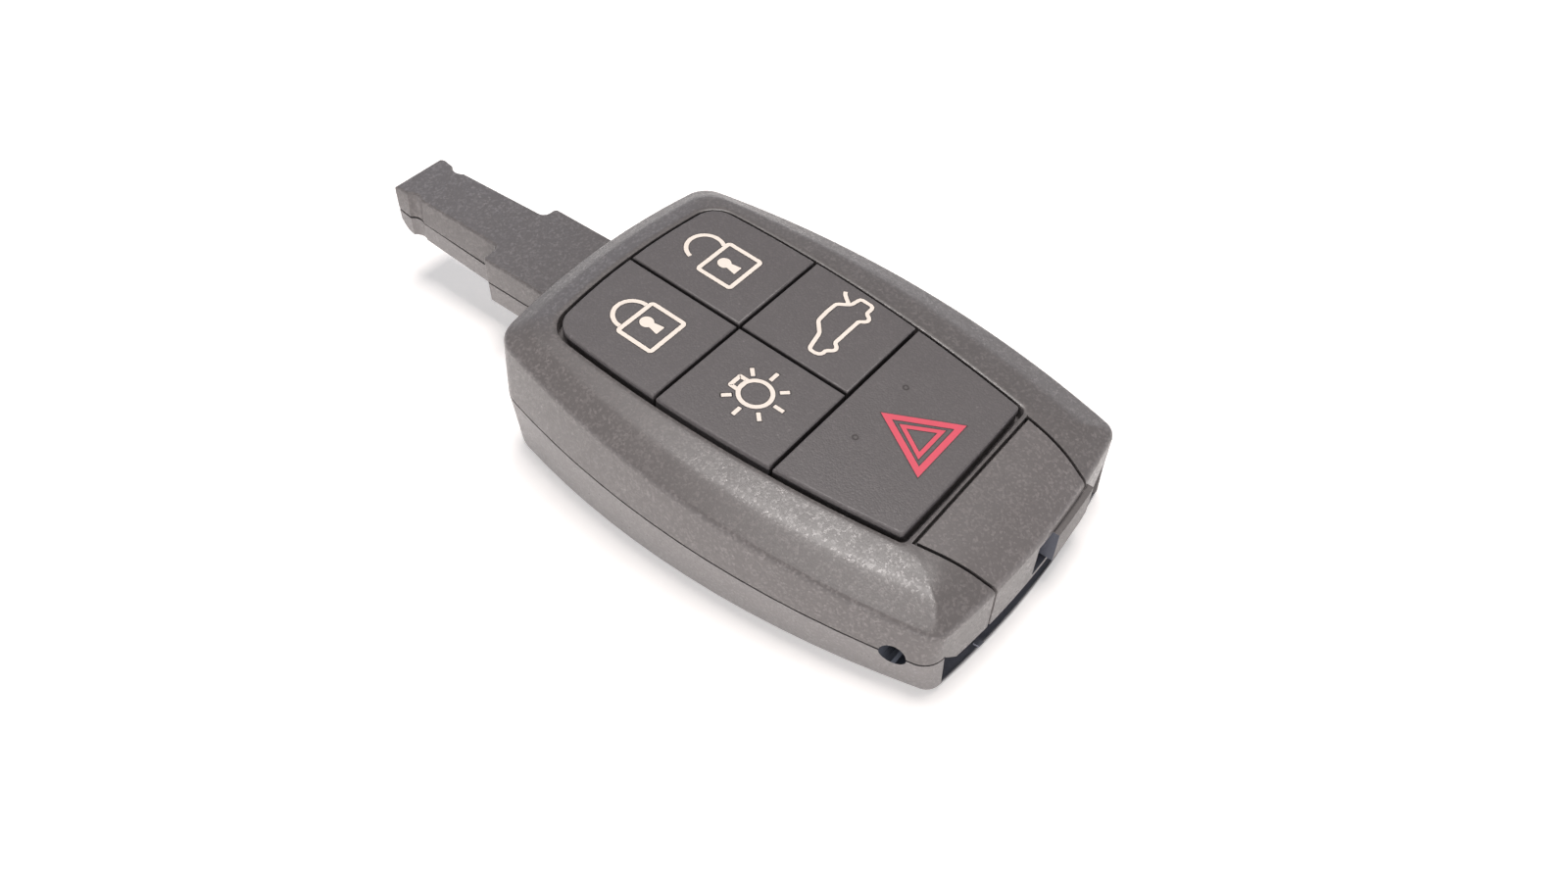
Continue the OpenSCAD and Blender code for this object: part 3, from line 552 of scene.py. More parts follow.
def wound_wire(name, colour, pitch):
    """Enamelled wire wound side by side along the coil, with painted shade in the grooves between turns"""
    material, tree, shader, place = new_material(name)
    turn = tree.nodes.new("ShaderNodeMapping")
    turn.inputs["Rotation"].default_value = (-SPLIT_TILT, 0, 0)
    tree.links.new(place, turn.inputs["Vector"])
    bands = tree.nodes.new("ShaderNodeTexWave")
    bands.bands_direction = "Y"
    bands.inputs["Scale"].default_value = 0.314 / pitch
    bands.inputs["Distortion"].default_value = 0.3
    tree.links.new(turn.outputs["Vector"], bands.inputs["Vector"])
    groove_and_shade = bands.outputs["Fac"]
    # painted shade in the grooves between turns
    tree.links.new(mix_colour(tree, groove_and_shade, shaded(colour, 0.35), colour), shader.inputs["Base Color"])
    tree.links.new(span_node(tree, groove_and_shade, 0, 1, 0.5, 0.28), shader.inputs["Roughness"])
    tree.links.new(bump_node(tree, groove_and_shade, strength=0.8, distance=0.00005), shader.inputs["Normal"])
    shader.inputs["Metallic"].default_value = 0.8
    return material


def printed_board(name, colour):
    """Board lacquer over copper tracks"""
    material, tree, shader, place = new_material(name)
    tracks = tree.nodes.new("ShaderNodeTexBrick")
    tracks.inputs["Scale"].default_value = 260
    tracks.inputs["Mortar Size"].default_value = 0.06
    tracks.inputs["Mortar Smooth"].default_value = 0.1
    tree.links.new(place, tracks.inputs["Vector"])
    tone = group_node(tree, TONE_DRIFT, place, Amount=0.15)
    toned = mix_colour(tree, 1.0, colour, tone.outputs["Tone"], "MULTIPLY")
    tree.links.new(mix_colour(tree, tracks.outputs["Fac"], toned, shaded(colour, 2.2)),
                   shader.inputs["Base Color"])
    tree.links.new(span_node(tree, tone.outputs["Clouds"], 0, 1, 0.22, 0.36), shader.inputs["Roughness"])
    bump = bump_node(tree, tracks.outputs["Fac"], strength=0.4, distance=0.00003)
    tree.links.new(bump, shader.inputs["Normal"])
    return material


SHELL = moulded_plastic("grained_shell", SHELL_GREY, grain=4200, depth=0.000013, rough=0.36, grain_and_glint=0.6)
# painted light: lighter grey on the lower moulding
LIT_BASE = moulded_plastic("grained_base_lit", LIT_BASE_GREY, grain=4600, depth=0.00003, rough=0.40, grain_and_glint=0.25)
# painted light: lighter grey on the top of the rear panel
LIT_PANEL = moulded_plastic("grained_panel_lit", LIT_PANEL_GREY, grain=4200, depth=0.000013, rough=0.37, grain_and_glint=0.6)
KEY = moulded_plastic("matte_key", KEY_GREY, grain=4600, depth=0.00004, rough=0.43, grain_and_glint=0.32,
                      drift=0.06, dust=0.5)
CATCH = moulded_plastic("worn_catch", SHELL_GREY, grain=6400, depth=0.00003, rough=0.48, grain_and_glint=0.10)
CREAM = sign_paint("cream_paint", SIGN_CREAM, rough=0.5)
RED = sign_paint("red_paint", SIGN_RED, rough=0.5)
# painted shade inside the strap hole
HOLE_SHADE = moulded_plastic("painted_hole_shade", HOLE_SHADE_GREY, grain=4600, depth=0.00003, rough=0.8, grain_and_glint=0.05,
                         shine=0.1)
# painted light inside the slot
SLOT_LIGHT = moulded_plastic("painted_slot_light", SLOT_LIGHT_GREY, grain=4600, depth=0.00002, rough=0.5, grain_and_glint=0.10)
# painted shade in the catch window and beside the catch
NOTCH_SHADE = moulded_plastic("painted_notch_shade", NOTCH_SHADE_GREY, grain=4600, depth=0.00002, rough=0.5, grain_and_glint=0.10)
WALL_FACE = moulded_plastic("smooth_wall", SHELL_GREY, grain=4200, depth=0.000005, rough=0.36, grain_and_glint=0.6)
# painted highlight along the lip
LIP_HIGHLIGHT = moulded_plastic("painted_lip_highlight", LIP_HIGHLIGHT_GREY, grain=4600, depth=0.00001, rough=0.45, grain_and_glint=0.10)
# painted shade of the recess round each sign and pip
RECESS_SHADE = moulded_plastic("painted_recess_shade", RECESS_SHADE_GREY, grain=6000, depth=0.00003, rough=0.45, grain_and_glint=0.10)
SILICONE = moulded_plastic("silicone_mat", MAT_GREY, grain=3000, depth=0.00003, rough=0.62, grain_and_glint=0.06)
SEAL = moulded_plastic("seal_rubber", SEAL_BLACK, grain=3500, depth=0.00003, rough=0.6, grain_and_glint=0.06)
SWITCH = moulded_plastic("switch_black", SWITCH_BLACK, grain=5000, depth=0.00002, rough=0.42, grain_and_glint=0.08)
CHIP = moulded_plastic("chip_resin", CHIP_BLACK, grain=4200, depth=0.00003, rough=0.5, grain_and_glint=0.10)
FERRITE = moulded_plastic("ferrite", FERRITE_GREY, grain=3600, depth=0.00004, rough=0.55, grain_and_glint=0.12)
BOBBIN = moulded_plastic("bobbin_cream", BOBBIN_CREAM, grain=4000, depth=0.00003, rough=0.45, grain_and_glint=0.05)
STEEL = metal("drawn_steel", STEEL_GREY, rough=0.25)
BRASS = metal("sheet_brass", BRASS_YELLOW, rough=0.28)
WINDING = wound_wire("wound_copper", WIRE_COPPER, pitch=0.00012)
COPPER = metal("lead_copper", LEAD_COPPER, rough=0.3)
BOARD = printed_board("board_lacquer", BOARD_GREEN)

INNER_FINISH = {
    "keypad_mat": SILICONE,
    "circuit_board": BOARD,
    "controller_chip": CHIP,
    "radio_chip": CHIP,
    "crystal": STEEL,
    "antenna": BRASS,
    "coin_cell": STEEL,
    "contact_positive": BRASS,
    "contact_negative": BRASS,
    "coil_core": FERRITE,
    "coil_bobbin": BOBBIN,
    "coil_winding": WINDING,
    "coil_leads": COPPER,
    "board_screws": STEEL,
    "seal_ring": SEAL,
    "catch_spring": STEEL,
}
INNER_FINISH.update({f"{key}_switch": SWITCH for key in KEY_NAMES})


def finish_node(node, material):
    """Give a CAD node its material"""
    mesh = frame["nodes"][node].data
    mesh.materials.clear()
    mesh.materials.append(material)


# Pieces

def joined_mesh(node):
    """Copy of a CAD node's mesh with its loose triangles joined"""
    bm = bmesh.new()
    bm.from_mesh(frame["nodes"][node].data)
    bmesh.ops.remove_doubles(bm, verts=bm.verts, dist=WELD * MM)
    return bm


def merged_mesh(node):
    """Copy of a CAD node's mesh with its flat faces made one"""
    bm = joined_mesh(node)
    bmesh.ops.dissolve_degenerate(bm, edges=bm.edges, dist=WELD * MM)
    bmesh.ops.dissolve_limit(bm, angle_limit=math.radians(FLAT_TURN), use_dissolve_boundaries=False,
                             verts=bm.verts, edges=bm.edges, delimit={"NORMAL"})
    return bm


def round_edges(bm, edges, width, segments):
    """Small round on the given edges"""
    bmesh.ops.bevel(bm, geom=list(edges), offset=width * MM, offset_type="OFFSET", segments=segments,
                    profile=0.5, affect="EDGES", clamp_overlap=True, material=-1, loop_slide=True)


def add_piece(name, bm, body, material, smooth=30):
    """Turn a bmesh into a piece that rides on a body"""
    mesh = bpy.data.meshes.new(name)
    bm.normal_update()
    bm.to_mesh(mesh)
    bm.free()
    mesh.materials.append(material)
    mesh.shade_smooth()
    mesh.set_sharp_from_angle(angle=math.radians(smooth))
    piece = bpy.data.objects.new(name, mesh)
    bpy.context.scene.collection.objects.link(piece)
    even = piece.modifiers.new("even_shading", "WEIGHTED_NORMAL")
    even.keep_sharp = True
    even.weight = 60
    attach(piece, body)
    return piece


def turn_of(edge):
    """Signed angle between an edge's two faces, positive where it stands out"""
    if len(edge.link_faces) != 2:
        return 0
    return edge.calc_face_angle_signed(0)


def heading(way):
    """Angle of a flat vector"""
    return math.atan2(way.y, way.x)


def arc_points(centre, radius, first, last, steps):
    """Points along an arc, without its first one"""
    turns = [first + (last - first) * (step + 1) / steps for step in range(steps)]
    return [centre + radius * Vector((math.cos(turn), math.sin(turn))) for turn in turns]


def circles_meet(first, first_r, second, second_r, side):
    """Meeting point of two circles, on one side of the line between their centres"""
    span = (second - first).length
    way = (second - first) / span
    along = (first_r ** 2 - second_r ** 2 + span ** 2) / (2 * span)
    return first + along * way + side * math.sqrt(first_r ** 2 - along ** 2) * Vector((-way.y, way.x))


def bowed_outline(half_w, mid, front, rear, side_r, front_r, rear_r, front_q, rear_q):
    """Outline with bowed sides and ends and round corners, from the middle of the rear end"""
    side_c = Vector((half_w - side_r, mid))
    front_c = Vector((0, front - front_r))
    rear_c = Vector((0, rear_r - rear))
    front_corner = circles_meet(side_c, side_r - front_q, front_c, front_r - front_q, 1)
    rear_corner = circles_meet(side_c, side_r - rear_q, rear_c, rear_r - rear_q, -1)
    rear_turn = heading(rear_corner - rear_c)
    side_first = heading(rear_corner - side_c)
    side_last = heading(front_corner - side_c)
    front_turn = heading(front_corner - front_c)
    half = [Vector((0, -rear))]
    half += arc_points(rear_c, rear_r, -math.pi / 2, rear_turn, END_STEPS)
    half += arc_points(rear_corner, rear_q, rear_turn, side_first, CORNER_STEPS)
    half += arc_points(side_c, side_r, side_first, side_last, SIDE_STEPS)
    half += arc_points(front_corner, front_q, side_last, front_turn, CORNER_STEPS)
    half += arc_points(front_c, front_r, front_turn, math.pi / 2, END_STEPS)
    return half + [Vector((-point.x, point.y)) for point in reversed(half[1:-1])]


def housing(inset):
    """Outline of the housing at its upper edge, drawn in"""
    return bowed_outline(HALF_W - inset, 0, NOSE_END - inset, REAR_END - inset, SIDE_R - inset,
                         NOSE_END_R - inset, REAR_END_R - inset, max(NOSE_CORNER_R - inset, SMALL_R),
                         max(REAR_CORNER_R - inset, SMALL_R))


def parting(inset):
    """Outline at the parting line, drawn in"""
    out = FLARE - inset
    return bowed_outline(HALF_W + out, 0, NOSE_END + out, REAR_END - inset, SIDE_R + out, NOSE_END_R + out,
                         REAR_END_R - inset, NOSE_CORNER_R + out, REAR_CORNER_R + out)


def inner_room(inset=0.0):
    """Outline of the room inside the walls, drawn in"""
    side = WALL + inset
    end = END_WALL + inset
    return bowed_outline(HALF_W - side, 0, NOSE_END - side, REAR_END - end, SIDE_R - side,
                         NOSE_END_R - side, REAR_END_R - end, NOSE_CORNER_R - side, SMALL_R)


def key_field(grow):
    """Outline of the key field, let out"""
    return bowed_outline(FIELD_HALF_W + grow, FIELD_MID, FIELD_FRONT + grow, FIELD_REAR + grow,
                         FIELD_SIDE_R + grow, FIELD_FRONT_R + grow, STRAIGHT_R, FIELD_CORNER_R + grow,
                         SMALL_R + max(grow, 0))


def level_ring(points, z):
    """Ring at one height over the parting plane"""
    return [Vector((point.x, point.y, z)) for point in points]


def face_ring(points, z):
    """Upright copy of an outline, cut off under the key face"""
    rise = math.tan(FACE_TILT)
    lift = TOP_H + z / math.cos(FACE_TILT)
    return [Vector((point.x, point.y, lift + point.y * rise)) for point in points]


FACE_ON_SPLIT = Matrix.Translation((0, 0, TOP_H)) @ Matrix.Rotation(FACE_TILT, 4, "X")


def field_ring(points, z):
    """Ring drawn on the key face"""
    return [FACE_ON_SPLIT @ Vector((point.x, point.y, z)) for point in points]


def mixed_ring(first, second, share):
    """Ring between two others"""
    return [a.lerp(b, share) for a, b in zip(first, second)]


def loft(rings, closed=False):
    """Skin through rings of points, capped at both ends or led back to the first ring"""
    bm = bmesh.new()
    verts = [bm.verts.new(point * MM) for point in rings[0]]
    for pair in zip(verts, verts[1:] + verts[:1]):
        bm.edges.new(pair)
    if not closed:
        bm.faces.new(verts)
    followers = rings[1:] + rings[:1] if closed else rings[1:]
    for ring in followers:
        edges = [bm.edges.get(pair) for pair in zip(verts, verts[1:] + verts[:1])]
        made = bmesh.ops.extrude_edge_only(bm, edges=edges)["geom"]
        fresh = {item for item in made if isinstance(item, bmesh.types.BMVert)}
        verts = [next(edge.other_vert(vert) for edge in vert.link_edges if edge.other_vert(vert) in fresh)
                 for vert in verts]
        for vert, point in zip(verts, ring):
            vert.co = point * MM
    if closed:
        bmesh.ops.remove_doubles(bm, verts=bm.verts, dist=LOFT_WELD * MM)
    else:
        bm.faces.new(verts)
    bmesh.ops.recalc_face_normals(bm, faces=bm.faces)
    return bm


def prism(points, low, high, place=Matrix()):
    """Upright solid on an outline"""
    bm = bmesh.new()
    face = bm.faces.new([bm.verts.new((point[0] * MM, point[1] * MM, low * MM)) for point in points])
    made = bmesh.ops.extrude_face_region(bm, geom=[face], use_keep_orig=True)
    raised = [item for item in made["geom"] if isinstance(item, bmesh.types.BMVert)]
    bmesh.ops.translate(bm, verts=raised, vec=(0, 0, (high - low) * MM))
    bmesh.ops.recalc_face_normals(bm, faces=bm.faces)
    moved = place.copy()
    moved.translation = place.translation * MM
    bmesh.ops.transform(bm, matrix=moved, verts=bm.verts)
    return bm


def block(x0, x1, y0, y1, low, high):
    """Upright block"""
    return prism([(x0, y0), (x1, y0), (x1, y1), (x0, y1)], low, high)


def rod(x, y, low, high, width, place=Matrix()):
    """Round bar on a place"""
    turns = [2 * math.pi * (step + 0.5) / ROD_SIDES for step in range(ROD_SIDES)]
    ring = [(x + width / 2 * math.cos(turn), y + width / 2 * math.sin(turn)) for turn in turns]
    return prism(ring, low, high, place)


def keep_side(bm, point, normal):
    """Cut a solid on a plane and keep the part behind it"""
    made = bmesh.ops.bisect_plane(bm, geom=bm.verts[:] + bm.edges[:] + bm.faces[:], plane_co=point * MM,
                                  plane_no=normal, clear_outer=True)
    rim = [item for item in made["geom_cut"] if isinstance(item, bmesh.types.BMEdge)]
    bmesh.ops.holes_fill(bm, edges=rim, sides=0)
    bmesh.ops.recalc_face_normals(bm, faces=bm.faces)
    return bm


def bench_object(name, bm):
    """Object that is only used while a moulding is cut"""
    mesh = bpy.data.meshes.new(name)
    bm.to_mesh(mesh)
    bm.free()
    return bpy.data.objects.new(name, mesh)


def worked(blank, tools, operation):
    """Join tools to a blank, take them away from it or keep what it shares with them"""
    bench = bpy.data.collections.new("bench")
    bpy.context.scene.collection.children.link(bench)
    work = bench_object("blank", blank)
    bpy.context.scene.collection.objects.link(work)
    for tool in tools:
        bench.objects.link(bench_object("tool", tool))
    cut = work.modifiers.new("cut", "BOOLEAN")
    cut.operand_type = "COLLECTION"
    cut.collection = bench
    cut.operation = operation
    cut.solver = "EXACT"
    mesh = bpy.data.meshes.new_from_object(work.evaluated_get(bpy.context.evaluated_depsgraph_get()))
    bm = bmesh.new()
    bm.from_mesh(mesh)
    bpy.data.meshes.remove(mesh)
    for used in list(bench.objects) + [work]:
        bpy.data.meshes.remove(used.data)
    bpy.data.collections.remove(bench)
    return bm


def ridge_lift(share):
    """Height of the soft ridge along the bezel, from its edge to its rim"""
    top = math.sqrt(1 + RIDGE ** 2)
    return CROWN * (top - math.sqrt((2 * share - 1) ** 2 + RIDGE ** 2)) / (top - RIDGE)


def eased(share):
    """Soft step from 0 to 1"""
    share = min(max(share, 0), 1)
    return share * share * (3 - 2 * share)


def rear_drop(point, low):
    """Drop under the key face where the ridge runs straight on and the rear edge rolls off"""
    edge_in = EDGE_R * (1 - math.cos(math.radians(EDGE_TURN)))
    side = HALF_W - SIDE_R + math.sqrt(SIDE_R ** 2 - point.y ** 2) - edge_in
    inner = field_x(point.y) + RIM_W
    rear = REAR_END_R - REAR_END + edge_in - math.sqrt(REAR_END_R ** 2 - point.x ** 2)
    front = -FIELD_REAR - RIM_W
    across = min(max((side - abs(point.x)) / (side - inner), 0), 1)
    along = min(max((point.y - rear) / (front - rear), 0), 1)
    side_drop = low - (low - RIM_DROP) * across - ridge_lift(across)
    end_drop = RIM_DROP + (low - RIM_DROP) * (1 - along) ** REAR_ROLL
    near = max(RIDGE_BLEND - abs(side_drop - end_drop), 0) / RIDGE_BLEND
    return max(side_drop, end_drop) + near ** 2 * RIDGE_BLEND / 4


def bezel_ring(edge, rim, share):
    """Ring of the bezel between its edge and its rim, lifted by the soft ridge"""
    up = FACE_ON_SPLIT.inverted()
    low = -(up @ edge[0]).z
    ring = []
    for point in mixed_ring(edge, rim, share):
        spot = up @ point
        rearward = eased(-spot.y / RIDGE_MIX)
        spot.z += ridge_lift(share)
        spot.z += (-rear_drop(spot, low) - spot.z) * rearward
        ring.append(FACE_ON_SPLIT @ spot)
    return ring


def outer_rings():
    """Rings of the upper moulding from the groove at the parting line to the inner rim of the bezel"""
    foot = level_ring(parting(0), SEAM)
    turns = [math.radians(EDGE_TURN * step / TURN_STEPS) for step in range(TURN_STEPS + 1)]
    edge = [face_ring(housing(EDGE_R * (1 - math.cos(turn))), EDGE_R * (math.sin(turn) - 1) - EDGE_DROP)
            for turn in turns]
    rim = field_ring(key_field(RIM_W), -RIM_DROP)
    shares = [(step + 1) / BEZEL_STEPS for step in range(BEZEL_STEPS - 1)]
    rings = [level_ring(parting(GROOVE_D), 0), level_ring(parting(GROOVE_D), GROOVE_H),
             level_ring(parting(GROOVE_R), GROOVE_H), foot]
    rings += [mixed_ring(foot, edge[0], step / WALL_STEPS) for step in range(1, WALL_STEPS)]
    rings += edge
    rings += [bezel_ring(edge[-1], rim, share) for share in shares]
    return rings + [rim]


def well_rings():
    """Rings of the key well and the inside of the upper moulding, down to the parting plane"""
    lip = KEY_GAP / 2 + LIP_EASE
    return [
        field_ring(key_field(lip + RIM_ROUND), -RIM_DROP),
        field_ring(key_field(lip + RIM_MID), -RIM_DROP - RIM_MID),
        field_ring(key_field(lip), -RIM_DROP - RIM_ROUND),
        field_ring(key_field(lip), -RIM_DROP - RIM_T),
        field_ring(key_field(FLANGE_ROOM), -RIM_DROP - RIM_T),
        field_ring(key_field(FLANGE_ROOM), WELL_LOW),
        field_ring(key_field(WELL_OVER), WELL_LOW),
        face_ring(inner_room(), -EDGE_DROP - EDGE_R - TOP_WALL),
        level_ring(inner_room(), 0),
    ]


def field_x(y):
    """Half width of the key field along the key face"""
    return FIELD_HALF_W - FIELD_SIDE_R + math.sqrt(FIELD_SIDE_R ** 2 - (y - FIELD_MID) ** 2)


def panel_column(inset):
    """Column over the outline of the rear panel, drawn in"""
    front = -FIELD_REAR - KEY_GAP / 2 - BAR_W - inset
    back = -REAR_END - PANEL_OVER
    rows = [front + (back - front) * step / PANEL_STEPS for step in range(PANEL_STEPS + 1)]
    right = [(field_x(y) - inset, y) for y in rows]
    return prism(right + [(-x, y) for x, y in reversed(right)], -FAR, FAR / 2, FACE_ON_SPLIT)


def panel_bed(end_wall):
    """Everything under the rear panel and in front of the end wall"""
    run = REAR_END - FIELD_REAR - RIM_W
    fall = math.atan((EDGE_DROP - RIM_DROP) / run)
    point = FACE_ON_SPLIT @ Vector((0, -FIELD_REAR - RIM_W, -RIM_DROP - PANEL_T))
    normal = Matrix.Rotation(FACE_TILT + fall, 3, "X") @ Vector((0, 0, 1))
    return keep_side(prism(housing(end_wall), -FAR, FAR), point, normal)


def rear_room():
    """Room of the catch behind the end wall"""
    room = prism(inner_room(EASE), -1, FAR)
    keep_side(room, Vector((0, EASE - REAR_ROOM, 0)), Vector((0, 1, 0)))
    return under_well(room)


def under_well(bm):
    """Keep what lies under the foot of the key well"""
    foot = FACE_ON_SPLIT @ Vector((0, 0, WELL_LOW + EASE))
    return keep_side(bm, foot, FACE_ON_SPLIT.to_3x3() @ Vector((0, 0, 1)))


def bulkhead():
    """Wall between the board and the catch"""
    return under_well(block(-BULKHEAD_X, BULKHEAD_X, -REAR_ROOM, -BULKHEAD, HAIR, FAR))


def end_apron():
    """Foot of the end wall over the slot"""
    skirt = prism(parting(HAIR), APRON_Z, APRON_TOP)
    sides = [(-APRON_X, APRON_UP), (-APRON_X, 0), (-APRON_X - APRON_Z, APRON_Z), (APRON_X + APRON_Z, APRON_Z),
             (APRON_X, 0), (APRON_X, APRON_UP)]
    upright = Matrix.Rotation(math.pi / 2, 4, "X")
    skirt = worked(skirt, [prism(sides, REAR_END - APRON_DEEP, FAR, upright)], "INTERSECT")
    return worked(skirt, [prism(housing(END_WALL + EASE), -FAR, FAR)], "DIFFERENCE")


def catch_window():
    """Window of the catch in the end wall"""
    return block(WINDOW_LEFT, WINDOW_RIGHT, -FAR, 1 + END_WALL - REAR_END, WINDOW_LOW, WINDOW_TOP)


def strap_bore():
    """Round hole in the left side for a strap"""
    across = Matrix.Translation((-HALF_W - 1, STRAP_Y, 0)) @ Matrix.Rotation(math.pi / 2, 4, "Y")
    return rod(0, 0, 0, 1 + STRAP_DEEP, STRAP_D, across)


def nose_half(reach, corner, inset, lean):
    """Half of the nose seen from above, drawn in, with the side of its shaft leaning in"""
    root = NOSE_W / 2
    shaft = SHAFT_W / 2 - lean
    neck = NECK_W / 2 - NECK_LEAN * lean
    turn = math.radians(NECK_TURN)
    half = [Vector((root - inset, NOSE_END - ROOT_IN))]
    half += arc_points(Vector((root - NOSE_TURN, SHOULDER_Y - NOSE_TURN)), NOSE_TURN - inset,
                       0, math.pi / 2, steps=6)
    half += arc_points(Vector((shaft + NOSE_FILLET, SHOULDER_Y + NOSE_FILLET)), NOSE_FILLET + inset,
                       1.5 * math.pi, math.pi, steps=8)
    half += arc_points(Vector((neck + NECK_R, NECK_Y)), NECK_R + inset,
                       math.pi + turn, math.pi - turn, steps=12)
    half += arc_points(Vector((reach - corner, TIP_Y - corner)), corner - inset,
                       0, math.pi / 2.1, steps=8)
    return half


def nose_ring(z, inset, lean=0.0, tip=TIP_Y):
    """Outline of the nose at one height"""
    right = nose_half(HEAD_W / 2 + HEAD_SHIFT, HEAD_RIGHT_R, inset, 0)
    left = nose_half(HEAD_W / 2 - HEAD_SHIFT, HEAD_LEFT_R, inset, lean)
    points = right + [Vector((-point.x, point.y)) for point in reversed(left)]
    return [Vector((point.x, min(point.y, tip - inset), z)) for point in points]


def upper_nose():
    """Upper half of the nose with soft upper edges"""
    roof = GROOVE_H + HAIR
    rows = [(HAIR, GROOVE_D), (roof, GROOVE_D), (roof, GROOVE_R), (SEAM, 0)]
    steps = range(1, NOSE_STEPS + 1)
    rows += [(SEAM + (NOSE_UP - NOSE_ROUND - SEAM) * step / NOSE_STEPS, 0) for step in steps]
    turns = [math.radians(90 * step / NOSE_STEPS) for step in steps]
    rows += [(NOSE_UP - NOSE_ROUND * (1 - math.sin(turn)), NOSE_ROUND * (1 - math.cos(turn)))
             for turn in turns]
    return loft([nose_ring(z, inset, BEVEL_W * z / NOSE_UP, TIP_Y - TIP_LEAN * z / NOSE_UP)
                 for z, inset in rows])


def upper_solid():
    """Upper moulding: bowed walls, ridged bezel, key well, end wall and the upper half of the nose"""
    skin = worked(loft(outer_rings() + well_rings(), closed=True), [end_apron()], "UNION")
    recess = worked(panel_column(0), [panel_bed(END_WALL + 2 * EASE)], "DIFFERENCE")
    skin = worked(skin, [recess, panel_column(1), rear_room(), strap_bore()], "DIFFERENCE")
    bosses = [rod(side * BOSS_X, BOSS_Y, BOARD_TOP, BOSS_TOP, BOSS_D, FACE_ON_SPLIT) for side in (-1, 1)]
    skin = worked(skin, [upper_nose(), bulkhead()] + bosses, "UNION")
    bores = [rod(side * BOSS_X, BOSS_Y, BOARD_TOP - 1, BOARD_TOP + SCREW_DEEP, SCREW_D, FACE_ON_SPLIT)
             for side in (-1, 1)]
    roof = NOSE_UP - NOSE_WALL
    root = NOSE_W / 2 - NOSE_WALL
    neck = NECK_W / 2 - NECK_WALL
    rooms = [
        block(-root, root, NOSE_END + FLARE, SHOULDER_Y - NOSE_WALL, -1, roof),
        block(-neck, neck, SHOULDER_Y - 2 * NOSE_WALL, TIP_Y - TIP_R, -1 - EASE, roof - HAIR),
        block(-NECK_W / 2, NECK_W / 2, NOSE_END - ROOT_IN - 1, NOSE_END + 1, 0.5, roof - 2 * HAIR),
    ]
    return worked(skin, bores + rooms, "DIFFERENCE")


def panel_solid():
    """Rear panel cut from the same outer form"""
    mass = worked(loft(outer_rings()), [end_apron()], "UNION")
    mass = worked(mass, [panel_column(PANEL_GAP)], "INTERSECT")
    return worked(mass, [panel_bed(END_WALL), catch_window()], "DIFFERENCE")


def mark_inner_faces(bm, node):
    """Give the upright walls their own finish, paint shade into the strap hole and the catch window, and
    paint light into the slot
    """
    bm.normal_update()
    for face in bm.faces:
        if node != "lower_shell" and abs(face.normal.z) < UPRIGHT:
            face.material_index = ON_WALL
        centre = face.calc_center_median() / MM
        off = math.hypot(centre.y - STRAP_Y, centre.z)
        hidden = abs(face.normal.x) < FACES_SIDE or centre.x > STRAP_MOUTH - HALF_W
        if centre.x < STRAP_REACH - HALF_W and off < STRAP_SHADE and hidden:
            # painted shade inside the strap hole
            face.material_index = IN_HOLE
        low = (ON_SPLIT @ (centre * MM)).z / MM
        inside = abs(centre.x) < SLOT_X and centre.y < SLOT_IN and face.normal.y > FACES_REAR
        if inside and SLOT_LOW < low < SLOT_HIGH:
            # painted light inside the slot
            face.material_index = IN_SLOT
        in_window = WINDOW_LEFT - EASE < centre.x < WINDOW_RIGHT + EASE and centre.z < WINDOW_TOP + EASE
        if node == "end_panel" and in_window and face.normal.y > FACES_REAR:
            # painted shade inside the catch window
            face.material_index = IN_WINDOW


def make_moulding(node, name, bm, material):
    """Housing moulding that stands for its CAD node"""
    mark_inner_faces(bm, node)
    bmesh.ops.transform(bm, matrix=ON_SPLIT, verts=bm.verts)
    piece = add_piece(name, bm, "housing", material)
    for inner in (HOLE_SHADE, SLOT_LIGHT, NOTCH_SHADE, WALL_FACE):
        piece.data.materials.append(inner)
    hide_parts(node)


def faces_out(normal, middle):
    """True for a side of the lower moulding that can be seen from outside"""
    if middle.y < NOSE_END + 1:
        return normal.xy.dot(middle.xy) > OUTWARD * middle.xy.length
    at_front = normal.y > OUTWARD and middle.y > SHOULDER_Y - 1
    return normal.x * middle.x > abs(middle.x) * FACES_SIDE or at_front


def lower_solid():
    """Lower moulding with a soft upper edge all round"""
    bm = merged_mesh("lower_shell")
    bmesh.ops.transform(bm, matrix=ON_SPLIT.inverted(), verts=bm.verts)
    seam = []
    for edge in bm.edges:
        level = all(abs(vert.co.z) < LEVEL * MM for vert in edge.verts)
        if level and turn_of(edge) > math.radians(SEAM_TURN):
            middle = (edge.verts[0].co + edge.verts[1].co) / 2
            if any(faces_out(face.normal, middle / MM) for face in edge.link_faces):
                seam.append(edge)
    round_edges(bm, seam, GROOVE_R, segments=2)
    return bm


def make_lip_bead():
    """Bead along the edge of the lip under the slot, pale for a painted highlight"""
    rings = []
    for step in range(LIP_STEPS + 1):
        x = LIP_X * (2 * step / LIP_STEPS - 1)
        y = LIP_Y + x ** 2 / (2 * LIP_R)
        rings.append([Vector((x, y + inward, z)) for inward, z in LIP_SECTION])
    add_piece("lip_bead", loft(rings), "housing", LIP_HIGHLIGHT, smooth=50)


def make_key(node, name, body):
    """Key cap with a soft upper edge"""
    bm = merged_mesh(node)
    down = ON_KEYS.inverted()
    upper = [edge for edge in bm.edges
             if all((down @ vert.co).z > -LEVEL * MM for vert in edge.verts)]
    round_edges(bm, upper, KEY_EDGE_R, segments=3)
    piece = add_piece(name, bm, body, KEY)
    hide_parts(node)


